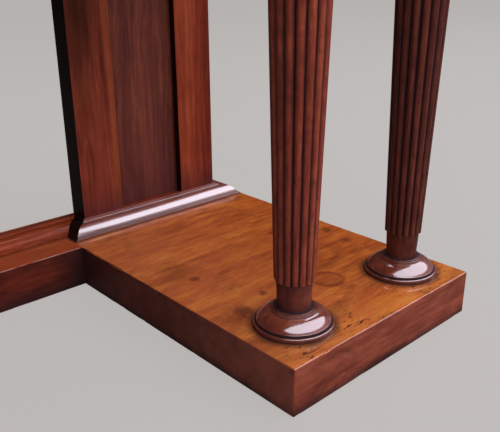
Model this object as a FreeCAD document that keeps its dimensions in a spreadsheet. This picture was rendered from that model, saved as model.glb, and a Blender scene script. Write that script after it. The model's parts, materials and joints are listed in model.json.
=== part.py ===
import FreeCAD, Part
import math
import os
import Sketcher

# Pier table in polished mahogany. A thick platform at each end carries two reeded legs and, at the
# back, a panelled pilaster. A low plinth joins the platforms at the back. A frieze box and a plain
# top lie over the legs and pilasters. Frame: Z up from the floor, X along the table, the front
# faces -Y, the origin is under the middle of the table.

Vector = FreeCAD.Vector
doc = FreeCAD.newDocument("pier_table")

# Driving dimensions in millimetres, each with what it measures
DIMENSIONS = (
    ("table_height", 914, "floor to the upper face of the top"),
    ("bay_width", 750, "clear width between the two platforms"),
    ("platform_width", 303, "platform, along the table"),
    ("platform_depth", 471, "platform, front to back"),
    ("platform_thickness", 54, "platform and back plinth, height"),
    ("platform_edge_round", 3, "radius on the platform's edges"),
    ("plinth_depth", 82, "back plinth, front to back"),
    ("plinth_edge_round", 2, "radius on the plinth's upper front edge"),
    ("dowel_radius", 6, "dowels between plinth and platforms"),
    ("dowel_length", 60, "dowel, half in each piece"),
    ("dowel_spacing", 40, "between the two dowels of a joint"),
    ("pilaster_margin", 34.6, "platform edge to pilaster side"),
    ("stile_width", 63.7, "upright of the pilaster frame, across its face"),
    ("stile_thickness", 32, "pilaster frame, front to back"),
    ("pilaster_top_rail_height", 63.7, "rail between the stiles under the soffit"),
    ("panel_recess", 11.7, "pilaster face to panel face"),
    ("panel_thickness", 8, "pilaster panel"),
    ("panel_tongue", 7, "how far the panel enters its frame"),
    ("tenon_length", 25, "stile tenon in the platform"),
    ("tenon_width", 40, "stile tenon, across the face"),
    ("tenon_thickness", 12, "stile tenon, front to back"),
    ("base_height", 17.4, "base moulding"),
    ("base_projection", 30.8, "base moulding, out from the pilaster"),
    ("base_toe_height", 2.5, "upright edge at the foot of the base moulding"),
    ("base_toe_step", 3.2, "small flat above that edge"),
    ("base_toe_rise", 0.9, "slope of that flat"),
    ("base_fillet_projection", 7, "upper fillet, out from the pilaster"),
    ("base_fillet_height", 1.6, "upper fillet of the base moulding"),
    ("base_slope", 2, "fall of the base moulding's upper face"),
    ("back_moulding_flat", 6.6, "flat behind the back moulding's section"),
    ("cap_height", 16, "cap moulding of the pilaster"),
    ("cap_projection", 14, "cap moulding, out from the pilaster"),
    ("cap_fillet", 3, "fillets of the cap moulding"),
    ("leg_inner_inset", 61.5, "inner side of the platform to the axis of its inner leg"),
    ("leg_outer_inset", 53.9, "outer side of the platform to the axis of its outer leg"),
    ("leg_front_inset", 60.3, "platform front to leg axis"),
    ("reed_start", 51.8, "platform to the lower end of the reeds"),
    ("shaft_radius_low", 21.4, "reeded shaft, lower end"),
    ("shaft_radius_high", 38, "reeded shaft, upper end"),
    ("reed_overhang", 2.4, "reeds, out from the plain neck below them"),
    ("neck_taper", 1.4, "how much thinner the neck is above the foot"),
    ("leg_pin_radius", 10, "pin through the foot into the platform"),
    ("leg_pin_depth", 32, "pin, depth in the platform"),
    ("leg_top_pin_radius", 14, "pin through the capital into the soffit"),
    ("foot_radius", 42.8, "base disc of the turned foot"),
    ("foot_disc_height", 5.2, "base disc"),
    ("foot_fillet_step", 2.6, "fillet on the disc, in from the disc's edge"),
    ("foot_fillet_height", 2.4, "that fillet"),
    ("foot_torus_step", 0.8, "swelling part, in from the fillet"),
    ("foot_ring_projection", 6.6, "ring at the top of the foot, out from the neck"),
    ("foot_ring_height", 4.4, "that ring and the collar on it"),
    ("foot_collar_step", 2.1, "collar on the ring, in from the ring's edge"),
    ("foot_collar_height", 2.2, "collar, with its slope"),
    ("foot_collar_slope", 0.8, "fall of the collar's upper face from the neck to its edge"),
    ("foot_height", 22.2, "platform to the top of the foot"),
    ("capital_height", 42, "turned capital of a leg"),
    ("capital_ring_projection", 3, "ring at the foot of the capital, out from the reeds"),
    ("capital_ring_height", 8, "that ring"),
    ("capital_neck_step", 1.5, "neck of the capital, in from the reeds"),
    ("abacus_projection", 3.8, "disc at the top of the capital, out from the reeds"),
    ("abacus_height", 12, "that disc"),
    ("soffit_thickness", 20, "board over each end"),
    ("frieze_height", 118, "rails under the top"),
    ("frieze_inset", 12, "platform edge to frieze face"),
    ("frieze_thickness", 22, "rails under the top"),
    ("bead_height", 10, "bead along the frieze"),
    ("bead_flat", 1.2, "straight edge of the bead before its curve"),
    ("bearer_width", 60, "cross bearer under the top"),
    ("bearer_thickness", 25, "cross bearer under the top"),
    ("block_size", 30, "glue block in a frieze corner"),
    ("block_length", 60, "glue block, height"),
    ("screw_radius", 2.5, "screw from bearer into top"),
    ("screw_bite", 15, "screw, depth in the top"),
    ("screw_head_radius", 5, "screw head"),
    ("screw_head_height", 3, "screw head"),
    ("screw_inset", 60, "frieze rail to screw"),
    ("top_thickness", 25, "table top"),
    ("top_overhang", 20, "top, out from the frieze at the front and ends"),
    ("top_edge_round", 8, "radius on the top's front and end edges"),
    ("joint_clearance", 0.2, "play round pins, tenons, tongues and screws"),
    ("cut_overrun", 5, "how far a cut runs past the piece"),
)
REED_COUNT = 16
REED_OVERLAP_SHARE = 1.03
BEARER_PLACE_SHARE = 0.5

# Curves, each as its radius over its chord
BASE_TORUS_SHARE = 0.68
CAP_HOLLOW_SHARE = 0.8
FOOT_TORUS_SHARE = 1.3
CAPITAL_RING_SHARE = 0.58
CAPITAL_HOLLOW_SHARE = 0.83
BEAD_SHARE = 0.55
SIDES = (("left", -1), ("right", 1))


class Size:
    """A length: its number now, and the expression that gives it in the document."""

    def __init__(self, value, text):
        self.value = float(value)
        self.text = text

    def __add__(self, other):
        return Size(self.value + other.value, "(%s + %s)" % (self.text, other.text))

    def __sub__(self, other):
        return Size(self.value - other.value, "(%s - %s)" % (self.text, other.text))

    def __mul__(self, factor):
        return Size(self.value * factor, "(%s * %r)" % (self.text, float(factor)))

    __rmul__ = __mul__

    def __truediv__(self, divisor):
        return Size(self.value / divisor, "(%s / %r)" % (self.text, float(divisor)))

    def __neg__(self):
        return Size(-self.value, "(0 - %s)" % self.text)


ZERO = Size(0, "0")


def distance(across, up):
    """The length of a slanting line from its two parts."""
    return Size(math.hypot(across.value, up.value),
                "sqrt(%s * %s + %s * %s)" % (across.text, across.text, up.text, up.text))


def write_sheet():
    """The spreadsheet of driving dimensions, and a Size for each."""
    sheet = doc.addObject("Spreadsheet::Sheet", "sizes")
    found = {}
    for row, (name, value, meaning) in enumerate(DIMENSIONS, start=1):
        sheet.set("A%d" % row, name)
        sheet.set("B%d" % row, str(value))
        sheet.set("C%d" % row, meaning)
        sheet.setAlias("B%d" % row, name)
        found[name] = Size(value, "sizes." + name)
    doc.recompute()
    return found


S = write_sheet()
PIECES = []

# Places worked out from the driving dimensions
HALF_BAY = S["bay_width"] / 2
HALF_BASE = HALF_BAY + S["platform_width"]
HALF_FRIEZE = HALF_BASE - S["frieze_inset"]
TABLE_DEPTH = S["platform_depth"] - S["frieze_inset"] + S["top_overhang"]
BACK_Y = TABLE_DEPTH / 2
PLATFORM_FRONT_Y = BACK_Y - S["platform_depth"]
PILASTER_FACE_Y = BACK_Y - S["stile_thickness"]
FRIEZE_FACE_Y = PLATFORM_FRONT_Y + S["frieze_inset"]
PLATFORM_TOP = S["platform_thickness"]
TOP_UNDERSIDE = S["table_height"] - S["top_thickness"]
FRIEZE_BOTTOM = TOP_UNDERSIDE - S["frieze_height"]
REED_END = FRIEZE_BOTTOM - PLATFORM_TOP - S["capital_height"]
PANEL_OPENING = S["platform_width"] - 2 * (S["pilaster_margin"] + S["stile_width"])
PILASTER_WIDTH = S["platform_width"] - 2 * S["pilaster_margin"]
PILASTER_HEIGHT = FRIEZE_BOTTOM - PLATFORM_TOP
FRIEZE_DEPTH = S["platform_depth"] - S["frieze_inset"] - 2 * S["frieze_thickness"]
PLAY = S["joint_clearance"]
OVER = S["cut_overrun"]


def bind(thing, prop, size):
    thing.setExpression(prop, size.text)


def place(thing, x, y, z):
    for axis, size in zip("xyz", (x, y, z)):
        bind(thing, "Placement.Base." + axis, size)


def keep(thing, label):
    """Name a finished piece and put it on the list that is written out."""
    thing.Label = label
    PIECES.append(thing)


def new_body(label, x, y, z):
    body = doc.addObject("PartDesign::Body", label)
    place(body, x, y, z)
    keep(body, label)
    return body


def sketch_on(body, role, level=ZERO):
    """An empty sketch on one of the body's own origin planes, raised along the plane's normal."""
    sketch = body.newObject("Sketcher::SketchObject", "Sketch")
    plane = [item for item in body.Origin.OriginFeatures if item.Role == role][0]
    sketch.AttachmentSupport = [(plane, "")]
    sketch.MapMode = "FlatFace"
    bind(sketch, "AttachmentOffset.Base.z", level)
    return sketch


def hold(sketch, kind, geometry, end, size):
    """One dimension of a sketch, driven by the sheet. Zero is a point on an axis."""
    if size is ZERO:
        axis = -2 if kind == "DistanceX" else -1
        sketch.addConstraint(Sketcher.Constraint("PointOnObject", geometry, end, axis))
        return
    index = sketch.addConstraint(Sketcher.Constraint(kind, geometry, end, size.value))
    bind(sketch, "Constraints[%d]" % index, size)


def arc_between(start, finish, radius, sense):
    """The short arc from start to finish, anticlockwise for sense 1 and clockwise for -1."""
    chord = finish - start
    rise = math.sqrt(radius ** 2 - (chord.Length / 2) ** 2)
    left = Vector(-chord.y, chord.x, 0).normalize()
    centre = (start + finish) / 2 + left * rise * sense
    first, last = (start, finish) if sense > 0 else (finish, start)
    angle_first = math.atan2(first.y - centre.y, first.x - centre.x)
    angle_last = math.atan2(last.y - centre.y, last.x - centre.x)
    if angle_last < angle_first:
        angle_last += 2 * math.pi
    return Part.ArcOfCircle(Part.Circle(centre, Vector(0, 0, 1), radius), angle_first, angle_last)


def outline(sketch, corners):
    """A closed outline. A corner is (u, v), or (u, v, share, bulge) where an arc follows it.

    The arc's radius is that share of its chord. A bulge of 1 swells the outline, -1 hollows it."""
    points = [Vector(corner[0].value, corner[1].value, 0) for corner in corners]
    following = points[1:] + points[:1]
    next_corners = corners[1:] + corners[:1]
    area = sum(a.x * b.y - b.x * a.y for a, b in zip(points, following))
    ends = []
    for corner, after, start, finish in zip(corners, next_corners, points, following):
        if len(corner) == 2:
            sketch.addGeometry(Part.LineSegment(start, finish), False)
            ends.append((1, 2))
            continue
        share, bulge = corner[2:]
        radius = share * distance(after[0] - corner[0], after[1] - corner[1])
        sense = bulge if area > 0 else -bulge
        number = sketch.addGeometry(arc_between(start, finish, radius.value, sense), False)
        index = sketch.addConstraint(Sketcher.Constraint("Radius", number, radius.value))
        bind(sketch, "Constraints[%d]" % index, radius)
        ends.append((1, 2) if sense > 0 else (2, 1))
    for number in range(len(corners)):
        following_number = (number + 1) % len(corners)
        sketch.addConstraint(Sketcher.Constraint("Coincident", number, ends[number][1],
                                                 following_number, ends[following_number][0]))
    for number, corner in enumerate(corners):
        hold(sketch, "DistanceX", number, ends[number][0], corner[0])
        hold(sketch, "DistanceY", number, ends[number][0], corner[1])
    return sketch


def rectangle(sketch, u_low, v_low, u_high, v_high):
    return outline(sketch, [(u_low, v_low), (u_high, v_low), (u_high, v_high), (u_low, v_high)])


def circles(sketch, centres, radius):
    for u, v in centres:
        middle = Vector(u.value, v.value, 0)
        number = sketch.addGeometry(Part.Circle(middle, Vector(0, 0, 1), radius.value), False)
        index = sketch.addConstraint(Sketcher.Constraint("Radius", number, radius.value))
        bind(sketch, "Constraints[%d]" % index, radius)
        hold(sketch, "DistanceX", number, 3, u)
        hold(sketch, "DistanceY", number, 3, v)
    return sketch


def extrude(body, kind, sketch, length, reverse=False):
    """A Pad or a Pocket of a sketch. A pocket that takes nothing away is an error."""
    before = body.Shape.Volume if kind == "Pocket" else 0
    feature = body.newObject("PartDesign::" + kind, kind)
    feature.Profile = sketch
    bind(feature, "Length", length)
    feature.Reversed = reverse
    doc.recompute()
    if kind == "Pocket" and body.Shape.Volume >= before:
        raise ValueError("a pocket cuts nothing in " + body.Label)
    return feature


def turn(body, corners):
    """A piece turned about the body's Z axis from its half outline."""
    sketch = outline(sketch_on(body, "XZ_Plane"), corners)
    feature = body.newObject("PartDesign::Revolution", "Turned")
    feature.Profile = sketch
    feature.ReferenceAxis = (sketch, ["V_Axis"])
    doc.recompute()
    return feature


def round_edges(body, feature, radius, wanted):
    """Fillet the edges of a feature whose middle point passes the test."""
    names = []
    for number, edge in enumerate(feature.Shape.Edges, start=1):
        if wanted(edge.CenterOfMass):
            names.append("Edge%d" % number)
    fillet = body.newObject("PartDesign::Fillet", "Rounded")
    fillet.Base = (feature, names)
    bind(fillet, "Radius", radius)
    doc.recompute()


def board(label, x, y, z, length, width, height):
    """A plain sawn board, named by its corner with the lowest coordinates."""
    box = doc.addObject("Part::Box", label)
    bind(box, "Length", length)
    bind(box, "Width", width)
    bind(box, "Height", height)
    place(box, x, y, z)
    keep(box, label)


def group(label, pieces):
    """Like pieces that share one name."""
    compound = doc.addObject("Part::Compound", label)
    compound.Links = pieces
    keep(compound, label)


def near(a, b):
    return abs(a - b) < PLAY.value


# Platforms and back plinth

DOWEL_YS = [BACK_Y - PLATFORM_FRONT_Y - S["plinth_depth"] / 2 + S["dowel_spacing"] / 2 * way
            for way in (-1, 1)]
DOWEL_Z = PLATFORM_TOP / 2
DOWEL_HOLE_DEPTH = S["dowel_length"] / 2 + PLAY
LEG_INSETS = (("inner", S["leg_inner_inset"]), ("outer", S["platform_width"] - S["leg_outer_inset"]))
STILE_OFFSETS = (
    ("inner", S["pilaster_margin"]),
    ("outer", S["platform_width"] - S["pilaster_margin"] - S["stile_width"]),
)


def make_platform(side, way):
    """Slab with holes for the leg pins, mortises for the stiles and holes for the plinth dowels."""
    body = new_body("platform_" + side, way * HALF_BAY, PLATFORM_FRONT_Y, ZERO)
    slab = rectangle(sketch_on(body, "XY_Plane"), ZERO, ZERO,
                     way * S["platform_width"], S["platform_depth"])
    solid = extrude(body, "Pad", slab, PLATFORM_TOP)
    round_edges(body, solid, S["platform_edge_round"], lambda middle: True)
    pins = sketch_on(body, "XY_Plane", PLATFORM_TOP)
    circles(pins, [(way * inset, S["leg_front_inset"]) for _, inset in LEG_INSETS],
            S["leg_pin_radius"] + PLAY)
    extrude(body, "Pocket", pins, S["leg_pin_depth"] + PLAY)
    half_width = S["tenon_width"] / 2 + PLAY
    half_thickness = S["tenon_thickness"] / 2 + PLAY
    middle_y = S["platform_depth"] - S["stile_thickness"] / 2
    for _, offset in STILE_OFFSETS:
        middle_x = way * (offset + S["stile_width"] / 2)
        mortise = rectangle(sketch_on(body, "XY_Plane", PLATFORM_TOP),
                            middle_x - half_width, middle_y - half_thickness,
                            middle_x + half_width, middle_y + half_thickness)
        extrude(body, "Pocket", mortise, S["tenon_length"] + PLAY)
    holes = circles(sketch_on(body, "YZ_Plane"), [(y, DOWEL_Z) for y in DOWEL_YS],
                    S["dowel_radius"] + PLAY)
    extrude(body, "Pocket", holes, DOWEL_HOLE_DEPTH, reverse=way > 0)


def make_back_plinth():
    """Rail between the platforms, flush with their backs and upper faces."""
    front = S["platform_depth"] - S["plinth_depth"]
    body = new_body("back_plinth", -HALF_BAY, PLATFORM_FRONT_Y, ZERO)
    face = rectangle(sketch_on(body, "YZ_Plane"), front, ZERO, S["platform_depth"], PLATFORM_TOP)
    rail = extrude(body, "Pad", face, S["bay_width"])
    round_edges(body, rail, S["plinth_edge_round"],
                lambda middle: near(middle.y, front.value) and near(middle.z, PLATFORM_TOP.value))
    centres = [(y, DOWEL_Z) for y in DOWEL_YS]
    for level, reverse in ((ZERO, True), (S["bay_width"], False)):
        holes = circles(sketch_on(body, "YZ_Plane", level), centres, S["dowel_radius"] + PLAY)
        extrude(body, "Pocket", holes, DOWEL_HOLE_DEPTH, reverse)


def make_dowels():
    """Two dowels at each end of the back plinth, lying along the table."""
    dowels = []
    for side, way in SIDES:
        for y in DOWEL_YS:
            dowel = doc.addObject("Part::Cylinder", "dowel_" + side)
            bind(dowel, "Radius", S["dowel_radius"])
            bind(dowel, "Height", S["dowel_length"])
            dowel.Placement.Rotation = FreeCAD.Rotation(Vector(0, 1, 0), 90)
            place(dowel, way * HALF_BAY - S["dowel_length"] / 2, PLATFORM_FRONT_Y + y, DOWEL_Z)
            dowels.append(dowel)
    group("plinth_dowels", dowels)


for side, way in SIDES:
    make_platform(side, way)
make_back_plinth()
make_dowels()

# Mouldings, drawn as (out from the face, up) and mitred where two lengths meet

BASE_FILLET_TOP = S["base_height"] - S["base_slope"]
BASE_SECTION = [
    (ZERO, ZERO),
    (S["base_projection"], ZERO),
    (S["base_projection"], S["base_toe_height"]),
    (S["base_projection"] - S["base_toe_step"], S["base_toe_height"] + S["base_toe_rise"],
     BASE_TORUS_SHARE, 1),
    (S["base_fillet_projection"], BASE_FILLET_TOP - S["base_fillet_height"]),
    (S["base_fillet_projection"], BASE_FILLET_TOP),
    (ZERO, S["base_height"]),
]
CAP_SECTION = [
    (ZERO, ZERO),
    (S["cap_fillet"], ZERO),
    (S["cap_fillet"], S["cap_fillet"], CAP_HOLLOW_SHARE, -1),
    (S["cap_projection"], S["cap_height"] - S["cap_fillet"]),
    (S["cap_projection"], S["cap_height"]),
    (ZERO, S["cap_height"]),
]
BEAD_SECTION = [
    (ZERO, ZERO),
    (S["bead_flat"], ZERO, BEAD_SHARE, 1),
    (S["bead_flat"], S["bead_height"]),
    (ZERO, S["bead_height"]),
]


def make_moulding(label, section, facing, start, length, cuts):
    """A length of moulding with its section at the start and mitres cut at the ends.

    facing 0 runs along X and faces the front, and facing 1 or -1 runs along Y and faces +X or -X.
    A cut is a triangle of (along, out) corners."""
    body = new_body(label, *start)
    if facing == 0:
        face = sketch_on(body, "YZ_Plane")
        outline(face, [(flip(corner[0], -1),) + corner[1:] for corner in section])
    else:
        face = sketch_on(body, "XZ_Plane")
        outline(face, [(flip(corner[0], facing),) + corner[1:] for corner in section])
    extrude(body, "Pad", face, length, reverse=facing != 0)
    tall = max((corner[1] for corner in section), key=lambda size: size.value)
    for cut in cuts:
        if facing == 0:
            corners = [(along, -out) for along, out in cut]
        else:
            corners = [(facing * out, along) for along, out in cut]
        extrude(body, "Pocket", outline(sketch_on(body, "XY_Plane"), corners), tall, reverse=True)


def flip(size, way):
    return size if size is ZERO else way * size


def outside_start(out):
    """Mitre round an outer corner, at the start of a length that begins with the moulding's toe."""
    return [(-OVER, out + OVER), (-OVER, -OVER), (out + OVER, -OVER)]


def outside_end(out, length):
    return [(length + OVER, out + OVER), (length + OVER, -OVER), (length - out - OVER, -OVER)]


def inside_end(out, length):
    """Mitre into an inner corner, at the end of a length that stops at its back edge."""
    return [(length + OVER, -OVER), (length - out - OVER, out + OVER), (length + OVER, out + OVER)]


def wrap_pilaster(side, way, kind, section, out, z, back_length, back_cuts):
    """Front, inner and outer lengths of a moulding round a pilaster."""
    inner_x = HALF_BAY + S["pilaster_margin"]
    outer_x = inner_x + PILASTER_WIDTH
    low_x = inner_x if way > 0 else -outer_x
    width = PILASTER_WIDTH + 2 * out
    front_y = PILASTER_FACE_Y - out
    name = "pilaster_%s_%s_moulding_" % (side, kind)
    make_moulding(name + "front", section, 0, (low_x - out, PILASTER_FACE_Y, z), width,
                  [outside_start(out), outside_end(out, width)])
    make_moulding(name + "inner", section, -way, (way * inner_x, front_y, z), back_length,
                  [outside_start(out)] + back_cuts)
    make_moulding(name + "outer", section, way, (way * outer_x, front_y, z),
                  S["stile_thickness"] + out, [outside_start(out)])


def make_back_moulding():
    """Moulding along the back plinth, with a flat behind it out to the back of the table."""
    out = S["base_projection"]
    length = S["bay_width"] + 2 * S["pilaster_margin"]
    flat = S["back_moulding_flat"]
    section = [(-flat, ZERO)] + BASE_SECTION[1:] + [(-flat, S["base_height"])]
    start = (-HALF_BAY - S["pilaster_margin"], BACK_Y - flat, PLATFORM_TOP)
    cuts = [
        [(-OVER, ZERO), (ZERO, ZERO), (out + OVER, out + OVER), (-OVER, out + OVER)],
        [(length + OVER, ZERO), (length, ZERO), (length - out - OVER, out + OVER),
         (length + OVER, out + OVER)],
    ]
    make_moulding("back_plinth_moulding", section, 0, start, length, cuts)


make_back_moulding()
base_out = S["base_projection"]
base_return = S["stile_thickness"] - S["back_moulding_flat"] + base_out
cap_out = S["cap_projection"]
for side, way in SIDES:
    wrap_pilaster(side, way, "base", BASE_SECTION, base_out, PLATFORM_TOP,
                  base_return, [inside_end(base_out, base_return)])
    wrap_pilaster(side, way, "cap", CAP_SECTION, cap_out, FRIEZE_BOTTOM - S["cap_height"],
                  S["stile_thickness"] + cap_out, [])

# Pilasters: two stiles tenoned into the platform, two rails and a panel held in their grooves

GROOVE_FRONT = S["panel_recess"] - PLAY
GROOVE_BACK = S["panel_recess"] + S["panel_thickness"] + PLAY
GROOVE_DEPTH = S["panel_tongue"] + PLAY


def make_stile(label, x, groove_way):
    """Upright with a groove for the panel on one edge and a tenon below."""
    width = S["stile_width"]
    grooved, plain = (width, ZERO) if groove_way > 0 else (ZERO, width)
    floor = width - GROOVE_DEPTH if groove_way > 0 else GROOVE_DEPTH
    body = new_body(label, x, PILASTER_FACE_Y, PLATFORM_TOP)
    section = outline(sketch_on(body, "XY_Plane"), [
        (plain, ZERO), (grooved, ZERO), (grooved, GROOVE_FRONT), (floor, GROOVE_FRONT),
        (floor, GROOVE_BACK), (grooved, GROOVE_BACK), (grooved, S["stile_thickness"]),
        (plain, S["stile_thickness"])])
    extrude(body, "Pad", section, PILASTER_HEIGHT)
    middle_x = width / 2
    middle_y = S["stile_thickness"] / 2
    half_width = S["tenon_width"] / 2
    half_thickness = S["tenon_thickness"] / 2
    tenon = rectangle(sketch_on(body, "XY_Plane"), middle_x - half_width, middle_y - half_thickness,
                      middle_x + half_width, middle_y + half_thickness)
    extrude(body, "Pad", tenon, S["tenon_length"], reverse=True)


def make_pilaster_rail(label, x, z, height, groove_up):
    """Rail between the stiles, with a groove for the panel on its upper or lower edge."""
    grooved, plain = (height, ZERO) if groove_up else (ZERO, height)
    floor = height - GROOVE_DEPTH if groove_up else GROOVE_DEPTH
    body = new_body(label, x, PILASTER_FACE_Y, z)
    section = outline(sketch_on(body, "YZ_Plane"), [
        (ZERO, plain), (ZERO, grooved), (GROOVE_FRONT, grooved), (GROOVE_FRONT, floor),
        (GROOVE_BACK, floor), (GROOVE_BACK, grooved), (S["stile_thickness"], grooved),
        (S["stile_thickness"], plain)])
    extrude(body, "Pad", section, PANEL_OPENING)


def make_pilaster(side, way):
    name = "pilaster_" + side + "_"
    for place_name, offset in STILE_OFFSETS:
        low_x = HALF_BAY + offset if way > 0 else -HALF_BAY - offset - S["stile_width"]
        faces_panel = way if place_name == "inner" else -way
        make_stile(name + place_name + "_stile", low_x, faces_panel)
    opening = S["pilaster_margin"] + S["stile_width"]
    low_x = HALF_BAY + opening if way > 0 else -HALF_BAY - opening - PANEL_OPENING
    top_height = S["pilaster_top_rail_height"]
    top_z = FRIEZE_BOTTOM - top_height
    make_pilaster_rail(name + "top_rail", low_x, top_z, top_height, False)
    make_pilaster_rail(name + "bottom_rail", low_x, PLATFORM_TOP, S["base_height"], True)
    tongue = S["panel_tongue"]
    low_z = PLATFORM_TOP + S["base_height"] - tongue
    board(name + "panel", low_x - tongue, PILASTER_FACE_Y + S["panel_recess"], low_z,
          PANEL_OPENING + 2 * tongue, S["panel_thickness"], top_z + tongue - low_z)


for side, way in SIDES:
    make_pilaster(side, way)

# Legs: a turned foot, a reeded shaft and a turned capital on one axis

LEG_Y = PLATFORM_FRONT_Y + S["leg_front_inset"]
NECK_HIGH = S["shaft_radius_low"] - S["reed_overhang"]
NECK_LOW = NECK_HIGH - S["neck_taper"]


def reed_section(sketch, radius):
    """A ring of convex reeds that meet in narrow grooves."""
    half_step = math.pi / REED_COUNT
    reach_share = REED_OVERLAP_SHARE * math.sin(half_step)
    centre_share = 1 / (1 + reach_share)
    reed_share = reach_share * centre_share
    groove_share = centre_share * (math.cos(half_step)
                                   + math.sqrt(reach_share ** 2 - math.sin(half_step) ** 2))
    round_share = reed_share / (2 * groove_share * math.sin(half_step))
    corners = []
    for number in range(REED_COUNT):
        angle = (2 * number - 1) * half_step
        corners.append((groove_share * math.cos(angle) * radius,
                        groove_share * math.sin(angle) * radius, round_share, 1))
    outline(sketch, corners)


def make_leg(label, x):
    """Reeded shaft that widens upwards, with a plain neck and a pin at each end."""
    body = new_body(label, x, LEG_Y, PLATFORM_TOP)
    low = sketch_on(body, "XY_Plane", S["reed_start"])
    reed_section(low, S["shaft_radius_low"])
    high = sketch_on(body, "XY_Plane", REED_END)
    reed_section(high, S["shaft_radius_high"])
    shaft = body.newObject("PartDesign::AdditiveLoft", "Reeds")
    shaft.Profile = low
    shaft.Sections = [high]
    shaft.Ruled = True
    doc.recompute()
    pin = S["leg_pin_radius"]
    turn(body, [(ZERO, -S["leg_pin_depth"]), (pin, -S["leg_pin_depth"]), (pin, S["foot_height"]),
                (NECK_LOW, S["foot_height"]), (NECK_HIGH, S["reed_start"]), (ZERO, S["reed_start"])])
    top_pin = circles(sketch_on(body, "XY_Plane", REED_END), [(ZERO, ZERO)], S["leg_top_pin_radius"])
    extrude(body, "Pad", top_pin, S["capital_height"] + S["soffit_thickness"])


def make_foot(label, x):
    """Turned foot: base disc, fillet, swelling torus, ring and collar, bored for the leg pin."""
    bore = S["leg_pin_radius"] + PLAY
    disc = S["foot_radius"]
    disc_top = S["foot_disc_height"]
    fillet = disc - S["foot_fillet_step"]
    fillet_top = disc_top + S["foot_fillet_height"]
    ring = NECK_LOW + S["foot_ring_projection"]
    ring_bottom = S["foot_height"] - S["foot_ring_height"]
    collar = ring - S["foot_collar_step"]
    collar_bottom = S["foot_height"] - S["foot_collar_height"]
    body = new_body(label, x, LEG_Y, PLATFORM_TOP)
    turn(body, [(bore, ZERO), (disc, ZERO), (disc, disc_top), (fillet, disc_top), (fillet, fillet_top),
                (fillet - S["foot_torus_step"], fillet_top, FOOT_TORUS_SHARE, 1),
                (ring, ring_bottom), (ring, collar_bottom), (collar, collar_bottom),
                (collar, S["foot_height"] - S["foot_collar_slope"]), (NECK_LOW, S["foot_height"]),
                (bore, S["foot_height"])])


def make_capital(label, x):
    """Turned capital: ring, neck, hollow and disc, bored for the leg's upper pin."""
    bore = S["leg_top_pin_radius"] + PLAY
    shaft = S["shaft_radius_high"]
    ring = shaft + S["capital_ring_projection"]
    ring_top = S["capital_ring_height"]
    abacus = shaft + S["abacus_projection"]
    hollow_end = S["capital_height"] - S["abacus_height"]
    body = new_body(label, x, LEG_Y, PLATFORM_TOP + REED_END)
    turn(body, [(bore, ZERO), (ring, ZERO, CAPITAL_RING_SHARE, 1), (ring, ring_top),
                (shaft - S["capital_neck_step"], ring_top, CAPITAL_HOLLOW_SHARE, -1),
                (abacus, hollow_end), (abacus, S["capital_height"]), (bore, S["capital_height"])])


for side, way in SIDES:
    for place_name, inset in LEG_INSETS:
        axis_x = way * (HALF_BAY + inset)
        make_leg("reeded_leg_%s_%s" % (side, place_name), axis_x)
        make_foot("turned_foot_%s_%s" % (side, place_name), axis_x)
        make_capital("leg_capital_%s_%s" % (side, place_name), axis_x)

# Frieze box, its soffits, bead, bearers and glue blocks

RAIL = S["frieze_thickness"]
INSIDE_FRONT_Y = FRIEZE_FACE_Y + RAIL
INSIDE_X = HALF_FRIEZE - RAIL


def make_frieze():
    height = S["frieze_height"]
    length = 2 * HALF_FRIEZE
    board("frieze_front_rail", -HALF_FRIEZE, FRIEZE_FACE_Y, FRIEZE_BOTTOM, length, RAIL, height)
    board("frieze_back_rail", -HALF_FRIEZE, BACK_Y - RAIL, FRIEZE_BOTTOM, length, RAIL, height)
    for side, way in SIDES:
        low_x = INSIDE_X if way > 0 else -HALF_FRIEZE
        board("frieze_%s_rail" % side, low_x, INSIDE_FRONT_Y, FRIEZE_BOTTOM,
              RAIL, FRIEZE_DEPTH, height)


def make_soffit(side, way):
    """Board over one end, between the rails, bored for the two leg pins."""
    inner_x = HALF_BAY + S["frieze_inset"]
    width = INSIDE_X - inner_x
    body = new_body("soffit_" + side, way * inner_x, INSIDE_FRONT_Y, FRIEZE_BOTTOM)
    blank = rectangle(sketch_on(body, "XY_Plane"), ZERO, ZERO, way * width, FRIEZE_DEPTH)
    extrude(body, "Pad", blank, S["soffit_thickness"])
    centres = [(way * (inset - S["frieze_inset"]), LEG_Y - INSIDE_FRONT_Y) for _, inset in LEG_INSETS]
    holes = circles(sketch_on(body, "XY_Plane"), centres, S["leg_top_pin_radius"] + PLAY)
    extrude(body, "Pocket", holes, S["soffit_thickness"], reverse=True)


def make_bead():
    """Half-round bead along the lower edge of the frieze, at the front and both ends."""
    out = S["bead_flat"] + BEAD_SHARE * S["bead_height"]
    length = 2 * HALF_FRIEZE + 2 * out
    end_length = BACK_Y - FRIEZE_FACE_Y + out
    make_moulding("frieze_bead_front", BEAD_SECTION, 0,
                  (-HALF_FRIEZE - out, FRIEZE_FACE_Y, FRIEZE_BOTTOM), length,
                  [outside_start(out), outside_end(out, length)])
    for side, way in SIDES:
        make_moulding("frieze_bead_" + side, BEAD_SECTION, way,
                      (way * HALF_FRIEZE, FRIEZE_FACE_Y - out, FRIEZE_BOTTOM), end_length,
                      [outside_start(out)])


BEARER_X = BEARER_PLACE_SHARE * HALF_BAY
SCREW_YS = (S["screw_inset"], FRIEZE_DEPTH - S["screw_inset"])


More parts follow.
